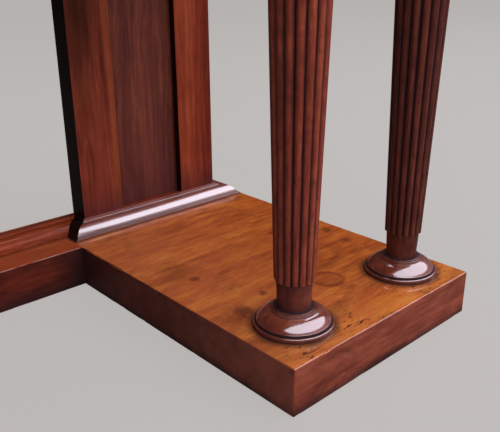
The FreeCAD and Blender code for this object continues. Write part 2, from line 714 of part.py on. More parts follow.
def make_bearer(side, way):
    """Cross bearer under the top, drilled for two screws."""
    half = S["bearer_width"] / 2
    body = new_body("top_bearer_" + side, way * BEARER_X, INSIDE_FRONT_Y,
                    TOP_UNDERSIDE - S["bearer_thickness"])
    blank = rectangle(sketch_on(body, "XY_Plane"), -half, ZERO, half, FRIEZE_DEPTH)
    extrude(body, "Pad", blank, S["bearer_thickness"])
    holes = circles(sketch_on(body, "XY_Plane"), [(ZERO, y) for y in SCREW_YS], S["screw_radius"] + PLAY)
    extrude(body, "Pocket", holes, S["bearer_thickness"], reverse=True)


def make_screws():
    """Round-headed screws, from below the bearers into the top."""
    screws = []
    under = TOP_UNDERSIDE - S["bearer_thickness"]
    for side, way in SIDES:
        for y in SCREW_YS:
            shank = doc.addObject("Part::Cylinder", "shank_" + side)
            bind(shank, "Radius", S["screw_radius"])
            bind(shank, "Height", S["bearer_thickness"] + S["screw_bite"])
            place(shank, way * BEARER_X, INSIDE_FRONT_Y + y, under)
            head = doc.addObject("Part::Cylinder", "head_" + side)
            bind(head, "Radius", S["screw_head_radius"])
            bind(head, "Height", S["screw_head_height"])
            place(head, way * BEARER_X, INSIDE_FRONT_Y + y, under - S["screw_head_height"])
            screw = doc.addObject("Part::Fuse", "screw_" + side)
            screw.Base = shank
            screw.Tool = head
            screws.append(screw)
    group("top_screws", screws)


def make_glue_blocks():
    """A block in each inner corner of the frieze, standing on the soffit."""
    blocks = []
    size = S["block_size"]
    for side, way in SIDES:
        low_x = INSIDE_X - size if way > 0 else -INSIDE_X
        for low_y in (INSIDE_FRONT_Y, BACK_Y - RAIL - size):
            block = doc.addObject("Part::Box", "block_" + side)
            bind(block, "Length", size)
            bind(block, "Width", size)
            bind(block, "Height", S["block_length"])
            place(block, low_x, low_y, FRIEZE_BOTTOM + S["soffit_thickness"])
            blocks.append(block)
    group("frieze_glue_blocks", blocks)


make_frieze()
make_bead()
for side, way in SIDES:
    make_soffit(side, way)
    make_bearer(side, way)
make_screws()
make_glue_blocks()


# Table top, rounded at the front and ends and square at the back

def make_top():
    half = HALF_FRIEZE + S["top_overhang"]
    front = FRIEZE_FACE_Y - S["top_overhang"]
    body = new_body("table_top", ZERO, ZERO, TOP_UNDERSIDE)
    blank = rectangle(sketch_on(body, "XY_Plane"), -half, front, half, BACK_Y)
    slab = extrude(body, "Pad", blank, S["top_thickness"])
    middle_z = S["top_thickness"].value / 2
    round_edges(body, slab, S["top_edge_round"],
                lambda middle: not near(middle.y, BACK_Y.value) and not near(middle.z, middle_z))
    centres = [(way * BEARER_X, INSIDE_FRONT_Y + y) for _, way in SIDES for y in SCREW_YS]
    holes = circles(sketch_on(body, "XY_Plane"), centres, S["screw_radius"] + PLAY)
    extrude(body, "Pocket", holes, S["screw_bite"] + PLAY, reverse=True)


make_top()

# Every object is sound before anything is written

doc.recompute()
for item in doc.Objects:
    if "Invalid" in item.State or "Error" in item.State:
        raise ValueError("failed: " + item.Label)
for piece in PIECES:
    if piece.Shape.isNull() or not piece.Shape.isValid() or not piece.Shape.Solids:
        raise ValueError("bad shape: " + piece.Label)

os.makedirs("parts", exist_ok=True)
for piece in PIECES:
    piece.Shape.exportStep("parts/%s.step" % piece.Label)
print(len(PIECES), "pieces written")
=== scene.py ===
# %% [markdown]
# # A pier table in polished mahogany
# A pier table stands against the wall between two windows. This one has a thick platform at each
# end, with two reeded legs in front and a panelled pilaster behind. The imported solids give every
# size and place, so the first step is to load them, and everything below is worked out from them.

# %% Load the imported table
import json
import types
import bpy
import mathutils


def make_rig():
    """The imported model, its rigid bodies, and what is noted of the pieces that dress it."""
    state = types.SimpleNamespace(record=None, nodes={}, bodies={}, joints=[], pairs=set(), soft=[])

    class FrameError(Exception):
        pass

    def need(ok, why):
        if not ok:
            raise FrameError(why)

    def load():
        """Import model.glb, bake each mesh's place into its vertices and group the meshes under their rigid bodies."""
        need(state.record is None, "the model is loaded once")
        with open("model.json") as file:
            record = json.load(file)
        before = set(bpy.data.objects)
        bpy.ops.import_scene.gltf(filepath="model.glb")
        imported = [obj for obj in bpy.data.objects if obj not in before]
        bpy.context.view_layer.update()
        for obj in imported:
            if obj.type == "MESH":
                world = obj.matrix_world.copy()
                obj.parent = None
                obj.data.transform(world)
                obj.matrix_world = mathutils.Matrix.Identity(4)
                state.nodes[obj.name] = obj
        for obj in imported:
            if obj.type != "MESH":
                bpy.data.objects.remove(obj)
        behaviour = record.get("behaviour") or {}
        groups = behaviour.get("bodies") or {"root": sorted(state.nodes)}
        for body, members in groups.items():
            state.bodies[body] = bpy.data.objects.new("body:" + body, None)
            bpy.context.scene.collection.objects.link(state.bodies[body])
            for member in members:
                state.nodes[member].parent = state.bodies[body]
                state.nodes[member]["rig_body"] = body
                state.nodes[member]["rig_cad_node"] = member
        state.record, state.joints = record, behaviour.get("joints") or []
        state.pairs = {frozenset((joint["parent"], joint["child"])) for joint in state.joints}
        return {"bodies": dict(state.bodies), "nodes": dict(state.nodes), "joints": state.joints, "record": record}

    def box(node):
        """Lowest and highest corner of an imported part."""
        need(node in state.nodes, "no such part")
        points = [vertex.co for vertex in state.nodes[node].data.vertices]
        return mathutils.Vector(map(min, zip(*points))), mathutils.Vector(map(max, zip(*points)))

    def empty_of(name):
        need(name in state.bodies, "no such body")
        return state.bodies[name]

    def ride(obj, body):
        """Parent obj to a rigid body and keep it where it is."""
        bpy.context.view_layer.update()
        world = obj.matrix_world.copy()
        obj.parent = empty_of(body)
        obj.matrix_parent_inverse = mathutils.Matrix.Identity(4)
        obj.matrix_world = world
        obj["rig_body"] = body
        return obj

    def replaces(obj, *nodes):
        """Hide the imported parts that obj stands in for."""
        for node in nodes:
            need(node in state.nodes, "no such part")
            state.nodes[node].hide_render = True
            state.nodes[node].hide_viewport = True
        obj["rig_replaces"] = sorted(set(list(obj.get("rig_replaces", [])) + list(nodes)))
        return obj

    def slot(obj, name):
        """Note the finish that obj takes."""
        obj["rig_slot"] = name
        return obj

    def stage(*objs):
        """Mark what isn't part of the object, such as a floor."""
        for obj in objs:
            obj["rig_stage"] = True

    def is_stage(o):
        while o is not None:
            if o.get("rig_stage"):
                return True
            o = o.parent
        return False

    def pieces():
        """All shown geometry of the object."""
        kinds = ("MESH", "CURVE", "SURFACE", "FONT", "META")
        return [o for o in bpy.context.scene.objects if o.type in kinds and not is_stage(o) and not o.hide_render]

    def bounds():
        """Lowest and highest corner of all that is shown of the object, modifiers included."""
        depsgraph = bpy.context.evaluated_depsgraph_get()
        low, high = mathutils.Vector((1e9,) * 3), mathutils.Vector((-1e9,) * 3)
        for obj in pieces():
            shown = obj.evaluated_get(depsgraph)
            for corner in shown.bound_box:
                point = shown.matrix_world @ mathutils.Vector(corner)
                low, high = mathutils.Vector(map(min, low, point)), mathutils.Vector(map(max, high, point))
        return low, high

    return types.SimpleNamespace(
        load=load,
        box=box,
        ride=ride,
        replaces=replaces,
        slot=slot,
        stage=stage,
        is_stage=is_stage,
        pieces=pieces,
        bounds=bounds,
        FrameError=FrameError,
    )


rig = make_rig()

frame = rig.load()

import json
import math
from collections import namedtuple

import bmesh
import bpy
from mathutils import Matrix, Vector, noise

MM = 0.001
UP = Vector((0, 0, 1))
CAD_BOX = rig.bounds()
SIDES = {"left": -1, "right": 1}
PLATFORM_LOW, PLATFORM_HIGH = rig.box("platform_right")
PLATFORM_TOP = PLATFORM_HIGH.z
PLATFORM_THICKNESS = PLATFORM_HIGH.z - PLATFORM_LOW.z


def add_object(name, data):
    """A new object in the scene, at the origin."""
    item = bpy.data.objects.new(name, data)
    bpy.context.scene.collection.objects.link(item)
    return item


print("nodes:", len(frame["nodes"]), "overall:", [round(v, 3) for v in CAD_BOX[1] - CAD_BOX[0]])

# %% [markdown]
# ## Camera
# The view looks down at the right-hand end from in front of the table's middle. Lines on the
# platform that are square to each other fix the lens and the viewing angle. The place of the camera
# is counted from the platform's inner front corner, in platform thicknesses.

# %% Set up the camera
VIEW_WIDTH_PX = 500
VIEW_FOCAL_PX = 662.81
VIEW_YAW = math.radians(42.735)
VIEW_PITCH = math.radians(20.986)
VIEW_ROLL = math.radians(-0.269)
CAMERA_PLACE_SHARES = Vector((-7.0956, -6.5702, 6.527))
SENSOR_WIDTH_MM = 36.0


def make_camera():
    """A camera turned by yaw, pitch and roll, with its columns written as a matrix."""
    ahead = Vector((math.sin(VIEW_YAW) * math.cos(VIEW_PITCH),
                    math.cos(VIEW_YAW) * math.cos(VIEW_PITCH), -math.sin(VIEW_PITCH)))
    level = Vector((math.cos(VIEW_YAW), -math.sin(VIEW_YAW), 0))
    above = level.cross(ahead)
    right = level * math.cos(VIEW_ROLL) + above * math.sin(VIEW_ROLL)
    top = above * math.cos(VIEW_ROLL) - level * math.sin(VIEW_ROLL)
    camera = add_object("camera", bpy.data.cameras.new("camera"))
    camera.data.sensor_width = SENSOR_WIDTH_MM
    camera.data.lens = VIEW_FOCAL_PX / VIEW_WIDTH_PX * SENSOR_WIDTH_MM
    camera.data.clip_start = PLATFORM_THICKNESS / 10
    corner = Vector((PLATFORM_LOW.x, PLATFORM_LOW.y, PLATFORM_TOP))
    turned = Matrix((right, top, -ahead)).transposed().to_4x4()
    camera.matrix_world = Matrix.Translation(corner + CAMERA_PLACE_SHARES * PLATFORM_THICKNESS) @ turned
    return camera


bpy.context.scene.camera = make_camera()
bpy.context.scene.view_settings.view_transform = "Standard"
print("camera at", [round(v, 3) for v in bpy.context.scene.camera.matrix_world.translation])

# %% [markdown]
# ## Node trees as sums
# A finish is a tree of shader nodes. Written link by link it is hard to read, so one small class
# wraps a socket and turns Python sums into Math nodes. The reflected forms let 1.0 - share work too.

# %% Wires
class Wire:
    """One output of a finish's node tree. Sums and products of wires add Math nodes."""

    def __init__(self, finish, socket):
        self.finish = finish
        self.socket = socket

    def math(self, operation, first, second):
        return self.finish.node("Math", {"operation": operation}, {0: first, 1: second})

    def __add__(self, other):
        return self.math("ADD", self, other)

    def __sub__(self, other):
        return self.math("SUBTRACT", self, other)

    def __rsub__(self, other):
        return self.math("SUBTRACT", other, self)

    def __mul__(self, other):
        return self.math("MULTIPLY", self, other)

    __radd__ = __add__
    __rmul__ = __mul__


print("wires can be added, subtracted and multiplied")

# %% [markdown]
# ## Finishes
# A finish owns the tree. One method makes a node of any kind, sets what the node is told, and fills or
# links its sockets. The other methods are short names for the few nodes that are needed all the time.

# %% Finishes
class Finish:
    """The node tree of a material or a world, and the one method that adds nodes to it."""

    def __init__(self, owner):
        owner.use_nodes = True
        self.owner = owner
        self.tree = owner.node_tree
        self.tree.nodes.clear()

    def node(self, kind, settings=None, sockets=None, out=0):
        item = self.tree.nodes.new("ShaderNode" + kind)
        for key, value in (settings or {}).items():
            if key == "stops":
                self.set_stops(item.color_ramp, value)
            else:
                setattr(item, key, value)
        for key, value in (sockets or {}).items():
            if isinstance(value, Wire):
                self.tree.links.new(value.socket, item.inputs[key])
            else:
                item.inputs[key].default_value = value
        return None if out is None else Wire(self, item.outputs[out])

    @staticmethod
    def set_stops(ramp, stops):
        while len(ramp.elements) < len(stops):
            ramp.elements.new(1.0)
        for element, (place, colour) in zip(ramp.elements, stops):
            element.position = place
            element.color = (*colour, 1.0)

    def mix(self, factor, first, second):
        """Colours mixed by a factor."""
        return self.node("Mix", {"data_type": "RGBA"}, {0: factor, 6: first, 7: second}, out=2)

    def between(self, value, low, high):
        """0 below low, 1 above high, and a straight rise between."""
        return self.node("MapRange", {}, {"Value": value, "From Min": low, "From Max": high})

    def part(self, vector, axis):
        """One coordinate of a vector."""
        return self.node("SeparateXYZ", {}, {0: vector}, out=axis)

    def size(self, value):
        """A number without its sign."""
        return self.node("Math", {"operation": "ABSOLUTE"}, {0: value})

    def apart(self, first, second):
        """The distance between two points."""
        return self.node("VectorMath", {"operation": "DISTANCE"}, {0: first, 1: second}, out="Value")

    def attribute(self, name):
        """A number that is kept on the mesh."""
        return self.node("Attribute", {"attribute_name": name}, out="Fac")

    def end(self, surface, kind="OutputMaterial"):
        """Close the tree with its output."""
        self.node(kind, {}, {"Surface": surface}, out=None)
        return self.owner


print("finishes are ready")

# %% [markdown]
# ## Floor
# The floor is a plain pale sheet. A bright lit floor would throw its light back on the table, so part
# of what the camera and the polish see of it is its own even colour, and only the rest is lit, which
# keeps the table's shadow.

# %% Lay the floor
FLOOR_COLOUR = (0.515, 0.491, 0.474, 1.0)
BOUNCE_COLOUR = (0.13, 0.12, 0.115, 1.0)
FLOOR_SIZE = 80.0
FLOOR_DROP = 0.3 * MM
SEEN_SHARES = {"Is Camera Ray": 0.88, "Is Glossy Ray": 0.12, "Is Transmission Ray": 0.12}


def to_mesh(bm, name, material):
    """A mesh with one material, made from a bmesh."""
    mesh = bpy.data.meshes.new(name)
    bm.to_mesh(mesh)
    bm.free()
    mesh.materials.append(material)
    return mesh


def floor_finish():
    finish = Finish(bpy.data.materials.new("pale_floor"))
    camera_ray = finish.node("LightPath", out="Is Camera Ray")
    lit = finish.node("BsdfDiffuse", {}, {"Color": finish.mix(camera_ray, BOUNCE_COLOUR, FLOOR_COLOUR)})
    even = finish.node("Emission", {}, {"Color": FLOOR_COLOUR, "Strength": 1.0})
    seen = sum(finish.node("LightPath", out=ray) * share for ray, share in SEEN_SHARES.items())
    return finish.end(finish.node("MixShader", {}, {0: seen, 1: lit, 2: even}))


floor_bm = bmesh.new()
bmesh.ops.create_grid(floor_bm, x_segments=1, y_segments=1, size=FLOOR_SIZE / 2)
bmesh.ops.translate(floor_bm, vec=-UP * FLOOR_DROP, verts=floor_bm.verts)
floor = add_object("floor", to_mesh(floor_bm, "floor", floor_finish()))
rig.stage(floor)
print("floor:", FLOOR_SIZE, "m wide")

# %% [markdown]
# ## Room
# Gloss needs something to mirror. The room is dim, and brighter in front of the table, as by a window.
# Where the camera looks past the floor it sees the floor's own colour, so that no horizon shows. A
# picture of a real room would do as well, but the script would need a file for it.

# %% The room
ROOM_DARK = (0.012, 0.011, 0.011, 1.0)
ROOM_BRIGHT = (0.42, 0.40, 0.44, 1.0)
ROOM_BRIGHT_WAY = Vector((0.50, -0.80, 0.33))
ROOM_BRIGHT_START, ROOM_BRIGHT_FULL = 0.1, 1.0


def make_room():
    """A dim room that is brighter in front of the table, and pale where the camera sees it."""
    room = Finish(bpy.data.worlds.new("room"))
    bpy.context.scene.world = room.owner
    way = room.node("TexCoord", out="Generated")
    side = room.node("VectorMath", {"operation": "DOT_PRODUCT"}, {0: way, 1: ROOM_BRIGHT_WAY},
                     out="Value")
    bright = room.between(side, ROOM_BRIGHT_START, ROOM_BRIGHT_FULL)
    lit = room.node("Background", {}, {"Color": room.mix(bright, ROOM_DARK, ROOM_BRIGHT)})
    pale = room.node("Background", {}, {"Color": FLOOR_COLOUR})
    camera_ray = room.node("LightPath", out="Is Camera Ray")
    room.end(room.node("MixShader", {}, {0: camera_ray, 1: lit, 2: pale}), "OutputWorld")


make_room()
print("room:", bpy.context.scene.world.name)

# %% [markdown]
# ## Lamps
# Polished wood shows the shape of the lamp that lights it. One very large, soft, oval lamp hangs
# overhead, to the right and in front, and draws the broad bands on the base moulding and the round
# feet. Two weak lamps lift the shadows. They are hidden from reflections, so they draw no bands of
# their own. A small lamp would be simpler, but would leave hard points of light.

# %% The lamps
LAMP_AIM = Vector((PLATFORM_LOW.x + 0.15, 0.0, 0.1))
SKY_PLACE = Vector((2.3, -0.95, 2.5))
SKY_SIZES = (7.4, 4.2)
SKY_POWER = 225.0
SKY_COLOUR = (0.88, 0.87, 1.0)
WEAK_COLOUR = (1.0, 0.97, 0.95)
WEAK_LAMPS = {"front_lamp": (Vector((1.6, -2.9, 1.1)), 2.4, 32.0),
              "left_lamp": (Vector((-1.2, -2.2, 0.9)), 2.0, 24.0)}


def make_lamp(name, spot, sizes, power, colour):
    lamp = add_object(name, bpy.data.lights.new(name, "AREA"))
    lamp.data.shape = "ELLIPSE"
    lamp.data.size, lamp.data.size_y = sizes
    lamp.data.energy = power
    lamp.data.color = colour
    lamp.location = spot
    lamp.visible_camera = False
    return lamp


make_lamp("sky_lamp", SKY_PLACE, SKY_SIZES, SKY_POWER, SKY_COLOUR)
for lamp_name, (lamp_place, lamp_size, lamp_power) in WEAK_LAMPS.items():
    weak_lamp = make_lamp(lamp_name, lamp_place, (lamp_size, lamp_size), lamp_power, WEAK_COLOUR)
    weak_lamp.rotation_euler = (LAMP_AIM - lamp_place).to_track_quat("-Z", "Y").to_euler()
    weak_lamp.visible_glossy = False
print("lamps:", 1 + len(WEAK_LAMPS))

# %% [markdown]
# ## Streaks
# Nearly everything that is seen in wood is a streak of some length: broad bands of colour, fine
# lines, short dark pores. Noise that is stretched along one axis gives all of them. It is solid noise
# in Object coordinates, so the end of a board shows end grain by itself. A picture of wood would need
# unwrapping, and would show seams at every edge.

# %% Streaks and faces
Streaks = namedtuple("Streaks", "along across detail roughness distortion", defaults=(0.55, 0.0))
TONE_STOPS = (0.37, 0.50, 0.63)
LEVEL = ("Z", 0.55, 0.95)
TOP = ("Z", 0.8, 0.95)
TILTED = ("Z", 0.3, 0.6)
END = ("X", 0.6, 0.9)


def streaked(finish, place, streaks):
    """Noise in streaks: few changes per metre along the grain, many across it."""
    scale = (streaks.along, streaks.across, streaks.across)
    drawn = finish.node("Mapping", {}, {"Vector": place, "Scale": scale})
    return finish.node("TexNoise", {}, {"Vector": drawn, "Scale": 1.0, "Detail": streaks.detail,
                                        "Roughness": streaks.roughness,
                                        "Distortion": streaks.distortion})


def wander(finish, place, streaks, width):
    """A shift to and fro, by up to half a width."""
    return (streaked(finish, place, streaks) - 0.5) * width


def patches(finish, place, streaks, limits):
    """Patches with soft borders: 0 where the noise is below the limits, and 1 above them."""
    return finish.between(streaked(finish, place, streaks), *limits)


def tone_ramp(finish, figure, tones):
    """Dark, middle and light tones laid over a figure."""
    return finish.node("ValToRGB", {"stops": list(zip(TONE_STOPS, tones))}, {"Fac": figure})


def facing(finish, way):
    """1 on faces that look along an axis, either way, and 0 on the others."""
    axis, low, high = way
    normal = finish.part(finish.node("TexCoord", out="Normal"), axis)
    return finish.between(finish.size(normal), low, high)


print("tones per finish:", len(TONE_STOPS))

# %% [markdown]
# ## Polish
# Old polish differs from piece to piece. Tops are rubbed to a clear gloss, mouldings and feet shine
# like glass, and frames and legs have gone dull. A polish is a short record of the shader's fixed
# numbers, so one mahogany can be given any of them.

# %% Kinds of polish
# The share on rubbed edges mixes in paler wood from wear, tinted pale lilac as a painted highlight.
Polish = namedtuple("Polish", "rough shine coat coat_ior coat_rough ripple rub")
FLAT_POLISH = Polish(rough=0.30, shine=0.06, coat=0.0, coat_ior=1.5, coat_rough=0.05, ripple=0.05,
                     rub=0.0)
SLAB_POLISH = Polish(rough=0.30, shine=0.06, coat=1.0, coat_ior=1.55, coat_rough=0.07, ripple=0.02,
                     rub=0.6)
BRIGHT_POLISH = Polish(rough=0.42, shine=0.9, coat=1.0, coat_ior=2.75, coat_rough=0.17, ripple=0.0,
                       rub=0.0)
SATIN_POLISH = Polish(rough=0.25, shine=0.15, coat=0.1, coat_ior=1.5, coat_rough=0.06, ripple=0.0,
                      rub=0.0)
FOOT_POLISH = Polish(rough=0.25, shine=0.1, coat=1.0, coat_ior=2.5, coat_rough=0.12, ripple=0.0,
                     rub=0.0)
LEDGE_POLISH = FLAT_POLISH._replace(rub=1.0)
LEG_POLISH = FLAT_POLISH._replace(shine=0.12)
print("gloss of the mouldings:", BRIGHT_POLISH.coat_ior)

# %% [markdown]
# ## Figure
# The figure of a board is the pattern of its grain. Four kinds of streak are added up in shares, from
# broad bands to fine flecks: straight wood has more of the long ones, wild wood more of the short
# ones. The grain also sways a little from side to side, as the tree did. Without that it looks ruled.

# %% Grain and figure
GRAIN_TURNS = {"X": (0, 0, 0), "Y": (0, 0, -math.pi / 2), "Z": (0, math.pi / 2, 0)}
SWAY_STREAKS = Streaks(5.0, 14.0, 2.0)
SWAY = 22 * MM
FIGURE_STREAKS = (Streaks(1.6, 26.0, 3.0, distortion=0.6), Streaks(5.0, 210.0, 6.0, 0.62, 0.25),
                  Streaks(22.0, 70.0, 4.0, distortion=0.5), Streaks(48.0, 400.0, 3.0))
STRAIGHT_FIGURE = (0.32, 0.26, 0.20, 0.22)
LONG_FIGURE = (0.42, 0.38, 0.13, 0.07)
WILD_FIGURE = (0.25, 0.21, 0.30, 0.24)


def lay_grain(finish, place, grain, shift):
    """Coordinates turned along the grain, which sways a little as the tree did."""
    laid = finish.node("Mapping", {}, {"Vector": place, "Rotation": GRAIN_TURNS[grain],
                                       "Location": (shift, shift, shift)})
    sway = wander(finish, laid, SWAY_STREAKS, SWAY)
    swayed = finish.node("CombineXYZ", {}, {"Y": sway, "Z": sway})
    return finish.node("VectorMath", {"operation": "ADD"}, {0: laid, 1: swayed}, out="Vector")


def draw_figure(finish, laid, shares):
    """The streaks of a board, added up in shares."""
    return sum(streaked(finish, laid, streaks) * share
               for streaks, share in zip(FIGURE_STREAKS, shares))


print("streaks in the figure:", len(FIGURE_STREAKS))

# %% [markdown]
# ## Mahogany
# Old mahogany is built up in layers: the figure in its tones, dark pores, dirt that the polish has
# trapped in hollows together with painted shade there, and paler wood where edges are rubbed, tinted
# as a painted highlight. Hollows and edges come from two attributes that are measured on each mesh
# further down. Each piece can add layers of its own.

# %% The mahogany finish
PORE_STREAKS, PORE_LIMITS = Streaks(95.0, 1500.0, 2.0), (0.60, 0.72)
PORE_STRENGTH = 0.45
PORE_DEPTH_SHARE = 0.25
PORE = (0.035, 0.011, 0.007, 1.0)
# Rubbed edges: paler from wear, and tinted pale lilac as a painted highlight.
RUB_AND_HIGHLIGHT_STREAKS, RUB_AND_HIGHLIGHT_LIMITS = Streaks(40.0, 40.0, 4.0), (0.42, 0.62)
RUBBED_AND_HIGHLIGHT = (0.42, 0.23, 0.22, 1.0)
EDGE_WAYS = (("Y", 0.2, 0.5), ("Z", 0.2, 0.5))
# Near-black, slightly bluish colour for dirt and for painted shade in hollows, corners and along the floor.
SHADE_AND_DIRT = (0.016, 0.012, 0.015, 1.0)
HOLLOW_SHADE_AND_DIRT = 0.9
HOLLOW_ROUGH = 0.25
CLOUD_STREAKS = Streaks(14.0, 22.0, 3.0)
CLOUD_ROUGH = 0.10
RIPPLE_STREAKS = Streaks(18.0, 60.0, 2.0)
RIPPLE_DEPTH = 0.6 * MM
WOOD_IOR = 1.5


def mahogany(name, grain, tones, polish, shift=0.0, layers=(), coat_share=None,
             shares=STRAIGHT_FIGURE):
    """Polished mahogany with its grain along an axis. A layer is a function that changes the colour."""
    finish = Finish(bpy.data.materials.new(name))
    place = finish.node("TexCoord", out="Object")
    laid = lay_grain(finish, place, grain, shift)
    figure = draw_figure(finish, laid, shares)
    colour = tone_ramp(finish, figure, tones)
    for layer in layers:
        colour = layer(finish, place, figure, colour)
    pores = patches(finish, laid, PORE_STREAKS, PORE_LIMITS)
    colour = finish.mix(pores * PORE_STRENGTH, colour, PORE)
    rub = patches(finish, laid, RUB_AND_HIGHLIGHT_STREAKS, RUB_AND_HIGHLIGHT_LIMITS) * polish.rub
    for way in EDGE_WAYS:
        rub = rub * facing(finish, way)
    hollow = finish.attribute("hollow")
    # Rubbed edges are mixed to pale lilac: wear with a painted highlight.
    colour = finish.mix(finish.attribute("arris") * rub, colour, RUBBED_AND_HIGHLIGHT)
    # Hollows are darkened: dirt together with painted shade.
    colour = finish.mix(hollow * HOLLOW_SHADE_AND_DIRT, colour, SHADE_AND_DIRT)
    cloud = wander(finish, laid, CLOUD_STREAKS, CLOUD_ROUGH)
    height = streaked(finish, laid, RIPPLE_STREAKS) - pores * PORE_DEPTH_SHARE
    bump = finish.node("Bump", {}, {"Strength": polish.ripple, "Distance": RIPPLE_DEPTH,
                                    "Height": height})
    coat = coat_share(finish, place) if coat_share else (1.0 - hollow) * polish.coat
    return finish.end(finish.node("BsdfPrincipled", {}, {
        "Base Color": colour, "Roughness": polish.rough + cloud + hollow * HOLLOW_ROUGH,
        "Normal": bump, "IOR": WOOD_IOR, "Specular IOR Level": polish.shine, "Coat Weight": coat,
        "Coat IOR": polish.coat_ior, "Coat Roughness": polish.coat_rough}))


print("ripples in the polish:", round(RIPPLE_DEPTH / MM, 1), "mm")

# %% [markdown]
# ## Shaping tools
# Joinery is made with few moves: a section pushed along a line, a profile turned on a lathe, a board
# with softened edges. Each move is a short helper on bmesh operators. Sections and profiles are lists
# of corners, and a corner may start an arc, so a whole moulding is a few lines of numbers.

# %% Outlines, pushed sections and boards
ARC_STEPS = 16


def trace(corners):
    """Points of a closed outline. A corner of four values starts an arc: radius over chord, bulge."""
    following = corners[1:] + corners[:1]
    area = sum(a[0] * b[1] - b[0] * a[1] for a, b in zip(corners, following))
    points = []
    for corner, after in zip(corners, following):
        start, finish = Vector(corner[:2]), Vector(after[:2])
        points.append(start)
        if len(corner) == 2:
            continue
        share, bulge = corner[2:]
        sense = bulge if area > 0 else -bulge
        chord = finish - start
        radius = share * chord.length
        rise = math.sqrt(radius ** 2 - (chord.length / 2) ** 2)
        centre = (start + finish) / 2 + Vector((-chord.y, chord.x)).normalized() * rise * sense
        sweep = 2 * math.asin(chord.length / 2 / radius) * sense
        for step in range(1, ARC_STEPS):
            points.append(centre + Matrix.Rotation(sweep * step / ARC_STEPS, 2) @ (start - centre))
    return points


def prism(points, travel):
    """A flat outline of points in space, pushed along a straight travel."""
    bm = bmesh.new()
    face = bm.faces.new([bm.verts.new(point) for point in points])
    pushed = bmesh.ops.extrude_face_region(bm, geom=[face])["geom"]
    moved = [item for item in pushed if isinstance(item, bmesh.types.BMVert)]
    bmesh.ops.translate(bm, vec=travel, verts=moved)
    bmesh.ops.recalc_face_normals(bm, faces=bm.faces)
    return bm


def board(low, high):
    """A plain board between two corners."""
    bm = bmesh.new()
    bmesh.ops.create_cube(bm, size=1.0)
    bmesh.ops.scale(bm, vec=high - low, verts=bm.verts)
    bmesh.ops.translate(bm, vec=(low + high) / 2, verts=bm.verts)
    return bm


print("steps in an arc:", ARC_STEPS)

# %% [markdown]
# ## Edges and wear
# No edge of an old table is sharp. Bevels soften them, and then every vertex is asked whether it lies
# on a rubbed edge or in a hollow. The answer is kept as two attributes that the finish reads, so the
# wear, the painted highlight on edges and the dirt and painted shade in hollows follow the shape. Wear
# could be painted by hand, but a new size would misplace it.

# %% Soft edges and wear marks
SHARP_ANGLE = math.radians(35)
NARROW_FACE = 3.2 * MM
RUBBED_TURN = math.radians(12)
HOLLOW_TURN = math.radians(20)
HOLLOW_FULL_TURN = math.radians(35)


def bevel_edges(bm, edges, width, segments):
    bmesh.ops.bevel(bm, geom=edges, offset=width, offset_type="OFFSET", affect="EDGES",
                    segments=segments, profile=0.5, material=-1, clamp_overlap=True)


def soften(bm, width, segments=2):
    """Round every edge that is sharp to the touch."""
    edges = [edge for edge in bm.edges
             if len(edge.link_faces) == 2 and edge.calc_face_angle() > SHARP_ANGLE]
    bevel_edges(bm, edges, width, segments)


def mark_wear(bm):
    """Two attributes: arris on rubbed edges, hollow in inner corners."""
    arris = bm.verts.layers.float.new("arris")
    hollow = bm.verts.layers.float.new("hollow")
    bm.normal_update()
    for vert in bm.verts:
        wide = max(face.calc_area() / max(edge.calc_length() for edge in face.edges)
                   for face in vert.link_faces)
        turns = [edge.calc_face_angle_signed(0.0) for edge in vert.link_edges]
        outward, inward = max(turns), -min(turns)
        if outward > RUBBED_TURN and wide < NARROW_FACE:
            vert[arris] = 1.0
        if inward > HOLLOW_TURN:
            vert[hollow] = min(1.0, inward / HOLLOW_FULL_TURN)


print("sharp edges turn by more than", round(math.degrees(SHARP_ANGLE)), "degrees")

# %% [markdown]
# ## Finished pieces
# Every piece ends in the same way: points that fall together are merged, wear is marked, and the mesh
# is shaded smooth apart from its sharp edges. Then it is said which solid it stands for, which body it
# rides on and which finish it shows, so that the table can be taken apart and moved as a whole.

# %% Hand over a piece
SAME_POINT = 0.002 * MM


def finish_piece(bm, node, material, slot):
    """Turn a bmesh into the piece that stands for a CAD node."""
    bmesh.ops.remove_doubles(bm, verts=bm.verts, dist=SAME_POINT)
    if not bm.verts.layers.float.keys():
        mark_wear(bm)
    mesh = to_mesh(bm, node + "_polished", material)
    mesh.shade_smooth()
    mesh.set_sharp_from_angle(angle=SHARP_ANGLE)
    piece = add_object(mesh.name, mesh)
    weighted = piece.modifiers.new("weighted", "WEIGHTED_NORMAL")
    weighted.keep_sharp = True
    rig.ride(piece, "root")
    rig.replaces(piece, node)
    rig.slot(piece, slot)
    return piece


print("points closer than", SAME_POINT / MM, "mm are merged")

# %% [markdown]
# ## Worn slabs
# Each platform is a thick slab whose edges have been knocked for two centuries. A bevelled box is
# cut into short lengths along its long edges, and solid noise pushes a few of the points on the
# rounded edges inwards. A bump in the finish would be less work, but would leave the outline straight.

# %% The slab with dented edges
EDGE_ROUND = 1.3 * MM
CORNER_ROUND = 1.6 * MM
EDGE_SEGMENTS = 4
NEAR_EDGE = EDGE_ROUND * 0.99
CUT_LENGTH = 2 * PLATFORM_THICKNESS
BUTT_LENGTH = 4 * PLATFORM_THICKNESS
DENT_CUTS = 64
DENT_DEPTH = 1.8 * MM
DENT_PER_METRE = 34.0
DENT_LEVEL = 0.22
SMALL_DENT_SHARE = 0.5
SMALL_DENT_PER_METRE = 3 * DENT_PER_METRE


def rise_of(edge):
    return abs(edge.verts[0].co.z - edge.verts[1].co.z)


